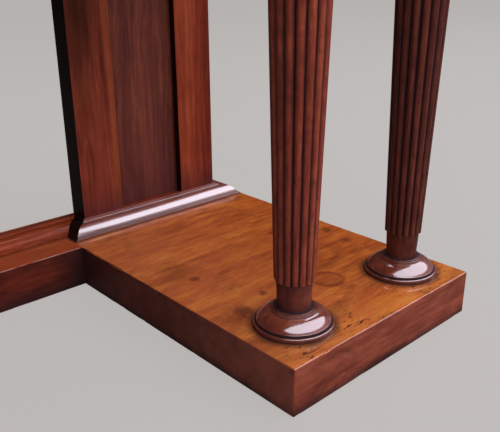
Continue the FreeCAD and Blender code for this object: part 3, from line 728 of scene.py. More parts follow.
def worn_slab(low, high, cuts, square_ends=False):
    """A slab with rounded, dented edges. Square ends butt against another piece."""
    bm = board(low, high)
    if not square_ends:
        bevel_edges(bm, [edge for edge in bm.edges if rise_of(edge) > EDGE_ROUND], CORNER_ROUND,
                    EDGE_SEGMENTS)
    level = [edge for edge in bm.edges if rise_of(edge) < EDGE_ROUND]
    if square_ends:
        level = [edge for edge in level if edge.calc_length() > BUTT_LENGTH]
    bevel_edges(bm, level, EDGE_ROUND, EDGE_SEGMENTS)
    long_edges = [edge for edge in bm.edges if edge.calc_length() > CUT_LENGTH]
    bmesh.ops.subdivide_edges(bm, edges=long_edges, cuts=cuts, use_grid_fill=True)
    bm.normal_update()
    arris = bm.verts.layers.float.new("arris")
    for vert in bm.verts:
        near_sides = sum(min(vert.co[axis] - low[axis], high[axis] - vert.co[axis]) < NEAR_EDGE
                         for axis in range(3))
        if near_sides < 2:
            continue
        vert[arris] = 1.0
        knock = (noise.noise(vert.co * DENT_PER_METRE)
                 + SMALL_DENT_SHARE * noise.noise(vert.co * SMALL_DENT_PER_METRE))
        vert.co -= vert.normal * DENT_DEPTH * max(0.0, knock - DENT_LEVEL)
    return bm


print("dents up to", round(DENT_DEPTH / MM, 1), "mm deep")

# %% [markdown]
# ## Faded tops and smoky sides
# Upper faces have faded to orange, and sides have stayed red under dark smears of old polish. Each of
# these is a layer: a share between 0 and 1 that says where it lies, and a colour that is mixed in. One
# texture for the whole slab couldn't be used again on the top.

# %% Colours of the slabs' faces
SLAB_TONES = ((0.095, 0.019, 0.011), (0.200, 0.045, 0.026), (0.310, 0.084, 0.046))
FADED_TONES = ((0.225, 0.040, 0.010), (0.425, 0.096, 0.017), (0.600, 0.190, 0.028))
END_GRAIN = (0.085, 0.021, 0.016, 1.0)
# Painted light: the end faces are painted lighter towards the front.
END_PAINTED_LIGHT = (0.270, 0.082, 0.056, 1.0)
END_PAINTED_LIGHT_START, END_PAINTED_LIGHT_STOP = 30 * MM, 230 * MM
END_PAINTED_LIGHT_SHARE, END_CLEAR_SHARE = 0.35, 0.45
END_STREAKS, END_LIMITS = Streaks(55.0, 55.0, 4.0), (0.30, 0.75)
SMOKE = (0.045, 0.010, 0.008, 1.0)
SMOKE_STREAKS, SMOKE_LIMITS = Streaks(7.0, 24.0, 4.0, distortion=0.7), (0.48, 0.62)
SMOKE_STRENGTH = 0.75


def near_front(finish, place, start, stop):
    """1 near the platforms' front, and 0 further back."""
    return 1.0 - finish.between(finish.part(place, "Y"), PLATFORM_LOW.y + start, PLATFORM_LOW.y + stop)


def faded_top(finish, place, figure, colour):
    """Upper faces have faded to orange."""
    return finish.mix(facing(finish, LEVEL), colour, tone_ramp(finish, figure, FADED_TONES))


def end_grain_and_painted_light(finish, place, figure, colour):
    """End grain has drunk more stain and polish. Near the front it is painted lighter, as painted light."""
    near = near_front(finish, place, END_PAINTED_LIGHT_START, END_PAINTED_LIGHT_STOP)
    mottle = patches(finish, place, END_STREAKS, END_LIMITS)
    tint = finish.mix(near * (END_PAINTED_LIGHT_SHARE + mottle), END_GRAIN, END_PAINTED_LIGHT)
    return finish.mix(facing(finish, END) * (1.0 - mottle * END_CLEAR_SHARE), colour, tint)


def smoky_sides(finish, place, figure, colour):
    """Broad dark smears on the upright faces, left by old polish."""
    smear = patches(finish, place, SMOKE_STREAKS, SMOKE_LIMITS)
    upright = 1.0 - facing(finish, TILTED)
    return finish.mix(smear * upright * SMOKE_STRENGTH, colour, SMOKE)


print("end grain is paler for", round(END_PAINTED_LIGHT_STOP / MM), "mm from the front")

# %% [markdown]
# ## Gold and haze
# The platform's front gets the most light and has bleached to gold, while its inner half lies under a
# thin haze of wax. Both fade out over a distance from an edge, so they need no border that would have
# to be drawn.

# %% Bleached front and hazy inner half
GOLDEN = (0.500, 0.195, 0.030, 1.0)
GOLDEN_START, GOLDEN_STOP = 33 * MM, 110 * MM
GOLDEN_STREAKS, GOLDEN_LIMITS = Streaks(26.0, 40.0, 4.0), (0.38, 0.62)
GOLDEN_STRENGTH = 0.35
HAZE = (0.750, 0.320, 0.200, 1.0)
HAZE_START, HAZE_STOP = 60 * MM, 220 * MM
HAZE_STRENGTH = 0.07


def near_inside(finish, place, start, stop):
    """1 near the platforms' inner sides, and 0 further out."""
    across = finish.size(finish.part(place, "X"))
    return 1.0 - finish.between(across, PLATFORM_LOW.x + start, PLATFORM_LOW.x + stop)


def golden_front(finish, place, figure, colour):
    """The front of the platform, where the most light falls, has bleached to gold in patches."""
    near = near_front(finish, place, GOLDEN_START, GOLDEN_STOP)
    patch = patches(finish, place, GOLDEN_STREAKS, GOLDEN_LIMITS)
    return finish.mix(near * patch * facing(finish, TOP) * GOLDEN_STRENGTH, colour, GOLDEN)


def wax_haze(finish, place, figure, colour):
    """A thin haze of old wax over the inner half, where nobody reaches to rub."""
    inner = near_inside(finish, place, HAZE_START, HAZE_STOP)
    return finish.mix(inner * facing(finish, TOP) * HAZE_STRENGTH, colour, HAZE)


FACE_LAYERS = [faded_top, smoky_sides, end_grain_and_painted_light, golden_front, wax_haze]
print("layers on the faces:", len(FACE_LAYERS))

# %% [markdown]
# ## Painted shade in corners
# Corners are painted darker, as painted shade: along the back of the ledge, where plinth and
# platforms meet, and on the platforms' inner sides close to the plinth. Along the floor the darkening
# is painted shade together with scuffs. The boxes of the solids say where those corners are, so the
# shade stays in place if a size changes. Shade that is painted by hand would not.

# %% Painted shade in the corners
PLINTH_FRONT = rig.box("back_plinth")[0].y
LEDGE_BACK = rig.box("back_plinth_moulding")[0].y
LEDGE_TONES = ((0.185, 0.030, 0.012), (0.300, 0.055, 0.018), (0.430, 0.100, 0.028))
LEDGE_SHADE_WIDTH, LEDGE_SHADE = 9 * MM, 0.6
CORNER_SHADE_WIDTH, CORNER_SHADE = 45 * MM, 0.75
INNER_SHADE_WIDTH, INNER_SHADE = 110 * MM, 0.65
INNER_FACE_START, INNER_FACE_STOP = 10 * MM, 20 * MM
SLAB_SCUFF_AND_SHADE_HEIGHT = 12 * MM
PLINTH_SCUFF_AND_SHADE_HEIGHT = 24 * MM
SCUFF_STREAKS = Streaks(60.0, 60.0, 3.0)
SCUFF_AND_SHADE = 0.8


def warm_top(finish, place, figure, colour):
    """A narrow ledge that has faded less and stayed red, with painted shade along its back."""
    level = facing(finish, LEVEL)
    colour = finish.mix(level, colour, tone_ramp(finish, figure, LEDGE_TONES))
    behind = finish.between(finish.part(place, "Y"), LEDGE_BACK - LEDGE_SHADE_WIDTH, LEDGE_BACK)
    return finish.mix(behind * level * LEDGE_SHADE, colour, SHADE_AND_DIRT)


def corner_shade(finish, place, figure, colour):
    """Painted shade in the upright corners between the plinth and the platforms."""
    across = finish.size(finish.part(place, "X"))
    beside = finish.between(across, PLATFORM_LOW.x - CORNER_SHADE_WIDTH, PLATFORM_LOW.x)
    return finish.mix(beside * (1.0 - facing(finish, TILTED)) * CORNER_SHADE, colour, SHADE_AND_DIRT)


def inner_corner(finish, place, figure, colour):
    """The same painted shade on the platform's inner side, close to the plinth."""
    beside = finish.between(finish.part(place, "Y"), PLINTH_FRONT - INNER_SHADE_WIDTH, PLINTH_FRONT)
    inner = near_inside(finish, place, INNER_FACE_START, INNER_FACE_STOP)
    return finish.mix(beside * inner * (1.0 - facing(finish, TILTED)) * INNER_SHADE, colour, SHADE_AND_DIRT)


def scuffed_and_shaded(tall):
    """Darker along the lower edge: painted shade by the floor, with scuffs where brooms and mops have knocked."""
    def add(finish, place, figure, colour):
        ragged = finish.part(place, "Z") + wander(finish, place, SCUFF_STREAKS, tall)
        return finish.mix((1.0 - finish.between(ragged, 0.0, tall)) * SCUFF_AND_SHADE, colour, SHADE_AND_DIRT)
    return add


print("dirt along the floor:", round(PLINTH_SCUFF_AND_SHADE_HEIGHT / MM), "mm high on the plinth")

# %% [markdown]
# ## Painted shadow round the feet
# On the platforms' upper faces, a painted contact shadow with some old wax lies close round each foot,
# and painted shade lies along the base moulding. The distance from a foot's axis gives a ring. The
# place across the table is taken without its sign, so that the same layer serves both ends.

# %% Painted shadow and wax on the platforms
MOULDING_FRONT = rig.box("pilaster_right_base_moulding_front")[0].y
FOOT_BOXES = [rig.box("turned_foot_right_" + place) for place in ("inner", "outer")]
SHADOW_AND_WAX_WIDTH, SHADOW_AND_WAX_STRENGTH = 9 * MM, 0.75
MOULDING_SHADE_WIDTH, MOULDING_SHADE = 7 * MM, 0.8
MOULDING_SHADE_STREAKS = Streaks(70.0, 70.0, 3.0)


def shadow_and_wax_rings(finish, place, figure, colour):
    """A painted contact shadow, with old wax, close round each foot."""
    across = finish.size(finish.part(place, "X"))
    spot = finish.node("CombineXYZ", {}, {"X": across, "Y": finish.part(place, "Y")})
    for low, high in FOOT_BOXES:
        centre = ((low.x + high.x) / 2, (low.y + high.y) / 2, 0)
        radius = (high.x - low.x) / 2
        share = 1.0 - finish.between(finish.apart(spot, centre), radius, radius + SHADOW_AND_WAX_WIDTH)
        colour = finish.mix(share * facing(finish, TOP) * SHADOW_AND_WAX_STRENGTH, colour, SHADE_AND_DIRT)
    return colour


def moulding_shade(finish, place, figure, colour):
    """Painted shade on the platform, in the corner along the base moulding."""
    ragged = wander(finish, place, MOULDING_SHADE_STREAKS, MOULDING_SHADE_WIDTH)
    share = finish.between(finish.part(place, "Y") + ragged, MOULDING_FRONT - MOULDING_SHADE_WIDTH,
                           MOULDING_FRONT)
    return finish.mix(share * facing(finish, TOP) * MOULDING_SHADE, colour, SHADE_AND_DIRT)


print("feet with a ring of wax:", len(FOOT_BOXES) * len(SIDES))

# %% [markdown]
# ## Stains
# Two hundred years of use leave soft dark stains, and small pits near the front that have filled with
# wax. Nobody would know the table by one of them, so both come from noise: one noise says where a
# group of pits lies, and a finer one draws the pits in it.

# %% Soft stains and pits
STAIN = (0.095, 0.020, 0.006, 1.0)
STAIN_STREAKS, STAIN_LIMITS = Streaks(11.0, 24.0, 5.0, distortion=0.8), (0.54, 0.74)
STAIN_STRENGTH = 0.55
PIT = (0.040, 0.012, 0.008, 1.0)
PIT_START, PIT_STOP = 25 * MM, 110 * MM
PIT_GROUP_STREAKS, PIT_GROUP_LIMITS = Streaks(17.0, 17.0, 2.0), (0.38, 0.54)
PIT_STREAKS, PIT_LIMITS = Streaks(120.0, 300.0, 3.0), (0.56, 0.63)
PIT_STRENGTH = 0.85


def old_stains(finish, place, figure, colour):
    """Soft dark patches, and small pits that have filled with wax."""
    top = facing(finish, TOP)
    stain = patches(finish, place, STAIN_STREAKS, STAIN_LIMITS)
    colour = finish.mix(top * stain * STAIN_STRENGTH, colour, STAIN)
    near = near_front(finish, place, PIT_START, PIT_STOP)
    group = patches(finish, place, PIT_GROUP_STREAKS, PIT_GROUP_LIMITS) * near
    pit = patches(finish, place, PIT_STREAKS, PIT_LIMITS)
    return finish.mix(top * group * pit * PIT_STRENGTH, colour, PIT)


print("pits reach", round(PIT_STOP / MM), "mm from the front")

# %% [markdown]
# ## Marks with places of their own
# A few knots, dark patches and the red ring of a wet glass are marks that one would know the table by,
# so each has a place, counted from the corner of the platform, and a radius. Noise makes their borders
# ragged. A small picture for each would be an exact copy, but would blur close by.

# %% Knots, patches and a ring
KNOT = (0.065, 0.012, 0.013, 1.0)
KNOTS_MM = ((84.6, 130.3, 6.0), (50.5, 211.6, 6.5), (40, 113, 14))
DARK_PATCHES_MM = ((280, 208, 10), (273, 165, 9), (216, 250, 5))
SOFT_PATCHES_MM = ((20, 108, 15), (232, 60, 14))
KNOT_STRENGTH, DARK_PATCH_STRENGTH, SOFT_PATCH_STRENGTH = 0.62, 0.7, 0.35
SPOT_STREAKS = Streaks(160.0, 160.0, 3.0)
SPOT_CORE, SPOT_REACH, SPOT_RAGGED = 0.35, 1.3, 2.0
RED_STAIN = (0.150, 0.020, 0.008, 1.0)
RING_CENTRE = (PLATFORM_LOW.x + 165.5 * MM, PLATFORM_LOW.y + 103 * MM, 0)
RING_RADIUS = 18 * MM
RING_LINE, RING_FADE = 1.5 * MM, 5 * MM
RING_INSIDE, RING_INSIDE_SHARE = 6 * MM, 0.45
RING_STREAKS, RING_LIMITS = Streaks(45.0, 45.0, 3.0), (0.30, 0.55)
RING_STRENGTH = 0.7


def flat_place(finish, place):
    """Coordinates seen from above."""
    return finish.node("Mapping", {}, {"Vector": place, "Scale": (1, 1, 0)})


def spots(places_mm, tint, strength):
    """Round ragged marks at places counted from the platform's corner, each with its own radius."""
    def add(finish, place, figure, colour):
        ragged = wander(finish, place, SPOT_STREAKS, SPOT_RAGGED)
        flat = flat_place(finish, place)
        for x, y, radius in [[number * MM for number in spot] for spot in places_mm]:
            away = finish.apart(flat, (PLATFORM_LOW.x + x, PLATFORM_LOW.y + y, 0))
            share = 1.0 - finish.between(away + ragged * radius, radius * SPOT_CORE, radius * SPOT_REACH)
            colour = finish.mix(share * facing(finish, TOP) * strength, colour, tint)
        return colour
    return add


def glass_ring(finish, place, figure, colour):
    """A red ring that a wet glass has left, stronger on one side."""
    away = finish.apart(flat_place(finish, place), RING_CENTRE)
    line = 1.0 - finish.between(finish.size(away - RING_RADIUS), RING_LINE, RING_FADE)
    inside = 1.0 - finish.between(away, RING_RADIUS - RING_INSIDE, RING_RADIUS)
    ragged = patches(finish, place, RING_STREAKS, RING_LIMITS)
    share = (line + inside * RING_INSIDE_SHARE) * ragged
    return finish.mix(share * facing(finish, TOP) * RING_STRENGTH, colour, RED_STAIN)


print("marks with a place:", len(KNOTS_MM + DARK_PATCHES_MM + SOFT_PATCHES_MM) + 1)

# %% [markdown]
# ## Platforms and back plinth
# Now the slabs are cut and finished. The two platforms share most layers, and only the right one has
# the marks with places of their own. Upward faces are rubbed to a gloss, apart from a dusty strip by
# the moulding. The plinth is a longer slab whose square ends butt against the platforms.

# %% Make the platforms and the plinth
DUST_WIDTH, DUST_STRENGTH = 60 * MM, 0.85
PLINTH_TONES = ((0.053, 0.009, 0.006), (0.120, 0.020, 0.012), (0.195, 0.039, 0.020))


def upward(finish, place):
    """Only upward faces are rubbed to a gloss."""
    return facing(finish, TILTED)


def dusted(finish, place):
    """Upward faces again, but dust has dulled the gloss close to the moulding."""
    dust = finish.between(finish.part(place, "Y"), MOULDING_FRONT - DUST_WIDTH, MOULDING_FRONT)
    return upward(finish, place) * (1.0 - dust * DUST_STRENGTH)


LEFT_LAYERS = FACE_LAYERS + [old_stains, scuffed_and_shaded(SLAB_SCUFF_AND_SHADE_HEIGHT), inner_corner, shadow_and_wax_rings,
                             moulding_shade]
RIGHT_LAYERS = LEFT_LAYERS + [
    spots(KNOTS_MM, KNOT, KNOT_STRENGTH), spots(DARK_PATCHES_MM, STAIN, DARK_PATCH_STRENGTH),
    spots(SOFT_PATCHES_MM, STAIN, SOFT_PATCH_STRENGTH), glass_ring]
PLINTH_LAYERS = [warm_top, smoky_sides, corner_shade, scuffed_and_shaded(PLINTH_SCUFF_AND_SHADE_HEIGHT)]
PLATFORM_LAYERS = {"left": LEFT_LAYERS, "right": RIGHT_LAYERS}
PLATFORM_SHIFTS = {"left": 0.37, "right": 0.0}
for side, shift in PLATFORM_SHIFTS.items():
    wood = mahogany("platform_mahogany_" + side, "X", SLAB_TONES, SLAB_POLISH, shift,
                    PLATFORM_LAYERS[side], dusted, WILD_FIGURE)
    slab = worn_slab(*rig.box("platform_" + side), DENT_CUTS)
    finish_piece(slab, "platform_" + side, wood, "platform_mahogany")
plinth_wood = mahogany("plinth_mahogany", "X", PLINTH_TONES, LEDGE_POLISH, shift=0.71,
                       layers=PLINTH_LAYERS)
plinth = worn_slab(*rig.box("back_plinth"), 2 * DENT_CUTS, square_ends=True)
finish_piece(plinth, "back_plinth", plinth_wood, "platform_mahogany")
print("platforms and plinth:", len(SIDES) + 1)

# %% [markdown]
# ## Moulding sections
# The base moulding has a low toe, a torus, a fillet and a slope. The back moulding is the same section
# with a flat behind it, and the cap is a hollow between two fillets. A section is written once as
# corners and arcs, so every length of it is the same, as if it had come from one plane.

# %% Sections of the base, back and cap mouldings
BASE_LOW, BASE_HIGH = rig.box("pilaster_right_base_moulding_front")
BASE_OUT = BASE_HIGH.y - BASE_LOW.y
BASE_TALL = BASE_HIGH.z - BASE_LOW.z
TOE_HEIGHT = 2.5 * MM
TOE_STEP = 3.2 * MM
TOE_RISE = 0.9 * MM
FILLET_OUT = 7.0 * MM
FILLET_TALL = 1.6 * MM
BASE_SLOPE = 2.0 * MM
BACK_FLAT = 6.6 * MM
TORUS_SHARE = 0.68
FILLET_TOP = BASE_TALL - BASE_SLOPE
CAP_LOW, CAP_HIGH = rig.box("pilaster_right_cap_moulding_front")
CAP_OUT = CAP_HIGH.y - CAP_LOW.y
CAP_TALL = CAP_HIGH.z - CAP_LOW.z
CAP_FILLET = 3.0 * MM
CAP_HOLLOW_SHARE = 0.8
BASE_CURVE = [(BASE_OUT, 0.0), (BASE_OUT, TOE_HEIGHT),
              (BASE_OUT - TOE_STEP, TOE_HEIGHT + TOE_RISE, TORUS_SHARE, 1),
              (FILLET_OUT, FILLET_TOP - FILLET_TALL), (FILLET_OUT, FILLET_TOP)]
BASE_SECTION = [(0.0, 0.0)] + BASE_CURVE + [(0.0, BASE_TALL)]
BACK_SECTION = [(-BACK_FLAT, 0.0)] + BASE_CURVE + [(0.0, BASE_TALL), (-BACK_FLAT, BASE_TALL)]
CAP_SECTION = [(0.0, 0.0), (CAP_FILLET, 0.0), (CAP_FILLET, CAP_FILLET, CAP_HOLLOW_SHARE, -1),
               (CAP_OUT, CAP_TALL - CAP_FILLET), (CAP_OUT, CAP_TALL), (0.0, CAP_TALL)]
print("base moulding:", round(BASE_OUT / MM, 1), "by", round(BASE_TALL / MM, 1), "mm")

# %% [markdown]
# ## Mitred lengths
# A length of moulding is its section, pushed along and mitred at 45 degrees where it turns a corner.
# The mitre is a plane that bisects the mesh and clears what lies beyond, and the open end is filled,
# so two lengths meet like sawn wood. A section swept round the corner would be one piece, not three.

# %% Lengths of moulding and their finishes
MOULDING_EDGE = 0.35 * MM
MOULDING_TONES = ((0.085, 0.018, 0.013), (0.190, 0.042, 0.029), (0.300, 0.078, 0.048))
BACK_TONES = ((0.140, 0.020, 0.006), (0.300, 0.046, 0.011), (0.460, 0.090, 0.022))
SHADE_BLACK = (0.004, 0.0015, 0.001, 1.0)
SHADE_BLACK_SHARE = 0.94
FRONT = Vector((0, -1, 0))
BACK = Vector((0, 1, 0))


def painted_shade_black(finish, place, figure, colour):
    """Painted shade: the colour is mixed nearly to black, for the inner returns."""
    return finish.mix(SHADE_BLACK_SHARE, colour, SHADE_BLACK)


def moulding_run(section, start, travel, out, mitres):
    """A length of moulding. A mitre is a point and the direction that is cut away."""
    bm = prism([start + out * u + UP * v for u, v in trace(section)], travel)
    for point, away in mitres:
        geometry = bm.verts[:] + bm.edges[:] + bm.faces[:]
        bmesh.ops.bisect_plane(bm, geom=geometry, plane_co=point, plane_no=away, clear_outer=True)
        open_edges = [edge for edge in bm.edges if edge.is_boundary]
        bmesh.ops.holes_fill(bm, edges=open_edges)
    bmesh.ops.recalc_face_normals(bm, faces=bm.faces)
    soften(bm, MOULDING_EDGE)
    return bm


moulding_x = mahogany("moulding_mahogany_x", "X", MOULDING_TONES, BRIGHT_POLISH, shift=0.13)
moulding_y = mahogany("moulding_mahogany_y", "Y", MOULDING_TONES, BRIGHT_POLISH, shift=0.21)
# Painted shade: the inner returns take a nearly black copy of the moulding's finish.
moulding_painted_shade = mahogany("moulding_mahogany_dark", "Y", MOULDING_TONES, FLAT_POLISH, shift=0.21,
                         layers=[painted_shade_black])
back_wood = mahogany("back_moulding_mahogany", "X", BACK_TONES, SATIN_POLISH, shift=0.47)
print("finishes so far:", len(bpy.data.materials))

# %% [markdown]
# ## Mouldings in place
# Three lengths wrap each pilaster, below and above, and one long length runs along the plinth between
# them. The box of each node gives its start and end, and the mitres follow from the box's depth. Typed
# coordinates would do as well, until a size changes.

# %% Make the base, cap and back mouldings
def wrap_pilaster(side, kind, section, inner_mitre):
    """Front, inner and outer lengths round one pilaster, placed by the boxes of their nodes."""
    name = "pilaster_%s_%s_moulding_" % (side, kind)
    way = Vector((SIDES[side], 0, 0))
    low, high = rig.box(name + "front")
    depth = high.y - low.y
    left = Vector((low.x + depth, high.y, low.z))
    right = Vector((high.x - depth, high.y, low.z))
    corners = {1: (left, right), -1: (right, left)}[SIDES[side]]
    span = Vector((high.x - low.x, 0, 0))
    front = moulding_run(section, Vector((low.x, high.y, low.z)), span, FRONT,
                         [(left, Vector((-1, 1, 0))), (right, Vector((1, 1, 0)))])
    finish_piece(front, name + "front", moulding_x, "moulding_mahogany")
    for place, corner, out in (("inner", corners[0], -way), ("outer", corners[1], way)):
        node_low, node_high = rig.box(name + place)
        start = Vector((corner.x, node_low.y, node_low.z))
        travel = Vector((0, node_high.y - node_low.y, 0))
        mitres = [(corner, FRONT - out)]
        if place == "inner" and inner_mitre:
            mitres.append((Vector((corner.x, node_high.y, node_low.z)), BACK + out))
        run = moulding_run(section, start, travel, out, mitres)
        wood = moulding_painted_shade if place == "inner" else moulding_y
        finish_piece(run, name + place, wood, "moulding_mahogany")


for side in SIDES:
    wrap_pilaster(side, "base", BASE_SECTION, inner_mitre=True)
    wrap_pilaster(side, "cap", CAP_SECTION, inner_mitre=False)
back_low, back_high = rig.box("back_plinth_moulding")
back_start = Vector((back_low.x, back_high.y - BACK_FLAT, back_low.z))
back_end = back_start + Vector((back_high.x - back_low.x, 0, 0))
back_run = moulding_run(BACK_SECTION, back_start, back_end - back_start, FRONT,
                        [(back_start, Vector((-1, -1, 0))), (back_end, Vector((1, -1, 0)))])
finish_piece(back_run, "back_plinth_moulding", back_wood, "moulding_mahogany")
print("back moulding:", round(back_high.x - back_low.x, 3), "m long")

# %% [markdown]
# ## Wood of the pilasters
# The frame's inner stile is darkened towards the top, as painted shade, and has a streak of pale
# sapwood beside the panel. Its sides are painted nearly black, as painted shade. Each is a layer again.
# Its place is counted from the stile's own box, and not from the ends of the table, so it moves with the
# stile.

# %% Layers of the frame
STILE_LOW, STILE_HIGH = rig.box("pilaster_right_inner_stile")
SIDE_SHADE_SHARE = 0.96
GOLD = (0.30, 0.085, 0.022, 1.0)
GOLD_STRENGTH = 0.25
GOLD_START = STILE_HIGH.x - 15 * MM
GOLD_START_FULL = GOLD_START + 6 * MM
GOLD_END = STILE_HIGH.x - 3 * MM
GOLD_END_FULL = GOLD_END + 5 * MM
GOLD_STREAKS, GOLD_WANDER = Streaks(6.0, 6.0, 2.0), 9 * MM
# Painted shade: the inner stile is darkened towards its top.
UPPER_SHADE = (0.030, 0.009, 0.005, 1.0)
UPPER_SHADE_SHARE = 0.22
UPPER_SHADE_MIDDLE = STILE_LOW.x * (1 - UPPER_SHADE_SHARE) + STILE_HIGH.x * UPPER_SHADE_SHARE
UPPER_SHADE_HALF = 46 * MM
UPPER_SHADE_START, UPPER_SHADE_FULL = 0.14, 0.34
UPPER_SHADE_STREAKS, UPPER_SHADE_WANDER = Streaks(5.0, 5.0, 2.0), 14 * MM
UPPER_SHADE_STRENGTH = 0.95


def painted_shade_sides(finish, place, figure, colour):
    """Painted shade: the sides are mixed nearly to black."""
    return finish.mix(facing(finish, END) * SIDE_SHADE_SHARE, colour, SHADE_BLACK)


def gold_streak(finish, place, figure, colour):
    """A pale streak of sapwood beside the panel."""
    across = finish.size(finish.part(place, "X")) + wander(finish, place, GOLD_STREAKS, GOLD_WANDER)
    start = finish.between(across, GOLD_START, GOLD_START_FULL)
    end = finish.between(across, GOLD_END, GOLD_END_FULL)
    return finish.mix((start - end) * GOLD_STRENGTH, colour, GOLD)


def painted_upper_shade(finish, place, figure, colour):
    """Painted shade that darkens the stile towards its top and fades out lower down."""
    across = finish.size(finish.part(place, "X")) + wander(finish, place, UPPER_SHADE_STREAKS, UPPER_SHADE_WANDER)
    beside = finish.between(finish.size(across - UPPER_SHADE_MIDDLE), 0.0, UPPER_SHADE_HALF)
    share = (1.0 - beside) * finish.between(finish.part(place, "Z"), UPPER_SHADE_START, UPPER_SHADE_FULL)
    return finish.mix(share * UPPER_SHADE_STRENGTH, colour, UPPER_SHADE)


print("heartwood:", round(UPPER_SHADE_HALF / MM), "mm to each side of its middle")

# %% [markdown]
# ## Finishes of the pilasters
# Stiles and panel are cut from straight wood with long streaks that run upwards, and the rails from wood
# that runs across. Above the moulding they are painted darker with a purple tint, as painted shade and
# painted reflection, furthest on the panel. The shift gives each piece another part of the same endless
# noise, as if it came from another board.

# %% Finishes of the frame and the panel
RED_TONES = ((0.085, 0.012, 0.006), (0.200, 0.032, 0.015), (0.330, 0.067, 0.027))
INNER_STILE_TONES = ((0.085, 0.014, 0.009), (0.202, 0.038, 0.021), (0.335, 0.078, 0.038))
PANEL_TONES = ((0.043, 0.012, 0.010), (0.109, 0.029, 0.021), (0.200, 0.054, 0.031))
LOW_SHADE = (0.050, 0.013, 0.017, 1.0)
LOW_SHADE_TALL = 42 * MM
PANEL_SHADE_TALL = 160 * MM
LOW_SHADE_STREAKS = Streaks(30.0, 30.0, 3.0)
LOW_SHADE_STRENGTH = 0.6


def painted_low_shade(tall):
    """Painted shade above the base moulding, with a purple tint of painted reflection."""
    def add(finish, place, figure, colour):
        ragged = wander(finish, place, LOW_SHADE_STREAKS, LOW_SHADE_TALL)
        above = finish.part(place, "Z") + ragged - BASE_HIGH.z
        share = 1.0 - finish.between(above, 0.0, tall)
        return finish.mix(share * LOW_SHADE_STRENGTH, colour, LOW_SHADE)
    return add


INNER_LAYERS = [painted_upper_shade, gold_streak, painted_low_shade(LOW_SHADE_TALL), painted_shade_sides]
OUTER_LAYERS = [painted_low_shade(LOW_SHADE_TALL), painted_shade_sides]
stile_inner = mahogany("stile_mahogany_inner", "Z", INNER_STILE_TONES, FLAT_POLISH,
                       layers=INNER_LAYERS, shares=LONG_FIGURE)
stile_outer = mahogany("stile_mahogany_outer", "Z", RED_TONES, FLAT_POLISH, shift=0.43,
                       layers=OUTER_LAYERS, shares=LONG_FIGURE)
panel_wood = mahogany("panel_mahogany", "Z", PANEL_TONES, FLAT_POLISH, shift=0.9,
                      layers=[painted_low_shade(PANEL_SHADE_TALL)], shares=LONG_FIGURE)
rail_wood = mahogany("pilaster_rail_mahogany", "X", RED_TONES, FLAT_POLISH, shift=0.57)
print("finishes so far:", len(bpy.data.materials))

# %% [markdown]
# ## Pilaster frames
# A pilaster is a frame of two stiles and two rails that holds a thin panel in a groove. The section
# of each member has that groove and is pushed along its length, so the panel really sits in it. A
# panel that is only drawn on a board would show no dark gap beside it.

# %% Make the pilaster frames
PANEL_LOW, PANEL_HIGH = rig.box("pilaster_right_panel")
GROOVE_DEPTH = 7.2 * MM
GROOVE_PLAY = 0.2 * MM
GROOVE_FRONT = PANEL_LOW.y - GROOVE_PLAY
GROOVE_BACK = PANEL_HIGH.y + GROOVE_PLAY
TENON_LENGTH = 25 * MM
FRAME_EDGE = 0.9 * MM


def grooved(low, high, axis, way):
    """Section of a frame member as (across, y), with the panel's groove where way points to."""
    plain, lip = (low[axis], high[axis]) if way > 0 else (high[axis], low[axis])
    bottom = lip - way * GROOVE_DEPTH
    return [(plain, low.y), (lip, low.y), (lip, GROOVE_FRONT), (bottom, GROOVE_FRONT),
            (bottom, GROOVE_BACK), (lip, GROOVE_BACK), (lip, high.y), (plain, high.y)]


def finish_member(bm, node, wood, slot="pilaster_mahogany"):
    soften(bm, FRAME_EDGE)
    finish_piece(bm, node, wood, slot)


def make_stile(node, way, wood):
    low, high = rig.box(node)
    foot = low.z + TENON_LENGTH
    section = [Vector((x, y, foot)) for x, y in grooved(low, high, 0, way)]
    finish_member(prism(section, UP * (high.z - foot)), node, wood)


def make_frame_rail(node, way):
    low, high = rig.box(node)
    section = [Vector((low.x, y, z)) for z, y in grooved(low, high, 2, way)]
    finish_member(prism(section, Vector((high.x - low.x, 0, 0))), node, rail_wood)


for side, way in SIDES.items():
    pilaster = "pilaster_%s_" % side
    make_stile(pilaster + "inner_stile", way, stile_inner)
    make_stile(pilaster + "outer_stile", -way, stile_outer)
    make_frame_rail(pilaster + "top_rail", -1)
    make_frame_rail(pilaster + "bottom_rail", 1)
    panel = board(*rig.box("pilaster_%s_panel" % side))
    finish_member(panel, pilaster + "panel", panel_wood, "panel_mahogany")
print("pilasters:", len(SIDES))

# %% [markdown]
# ## Reeds
# A leg is turned to a taper and then reeded: sixteen convex ribs that meet in narrow grooves. Seen
# from above, each rib is an arc on a small circle, so the leg's radius is a function of the angle
# round it. That function is all the shape needs, and it also says where the grooves are darkened with
# dirt and painted shade.

# %% Radius and grooves round a leg
REED_COUNT = 16
REED_POINTS = 12
REED_HALF_STEP = math.pi / REED_COUNT
REED_OVERLAP_SHARE = 1.03
GROOVE_START_SHARE = 0.42


def off_crest(angle):
    """Angle from the crest of the nearest reed."""
    return (angle + REED_HALF_STEP) % (2 * REED_HALF_STEP) - REED_HALF_STEP


def reeded_ring(radius):
    """Radius at an angle round the leg, for a shaft of this outer radius."""
    reach = REED_OVERLAP_SHARE * math.sin(REED_HALF_STEP)
    centre = radius / (1 + reach)
    reed = centre * reach

    def at(angle):
        off = off_crest(angle)
        return centre * math.cos(off) + math.sqrt(reed ** 2 - (centre * math.sin(off)) ** 2)
    return at


def plain_ring(radius):
    return lambda angle: radius


def groove_share(angle):
    """1 in the groove between two reeds, and 0 on a reed's crest."""
    off = abs(off_crest(angle)) / REED_HALF_STEP
    return max(0.0, (off - GROOVE_START_SHARE) / (1 - GROOVE_START_SHARE))


print("reeds on a leg:", REED_COUNT)

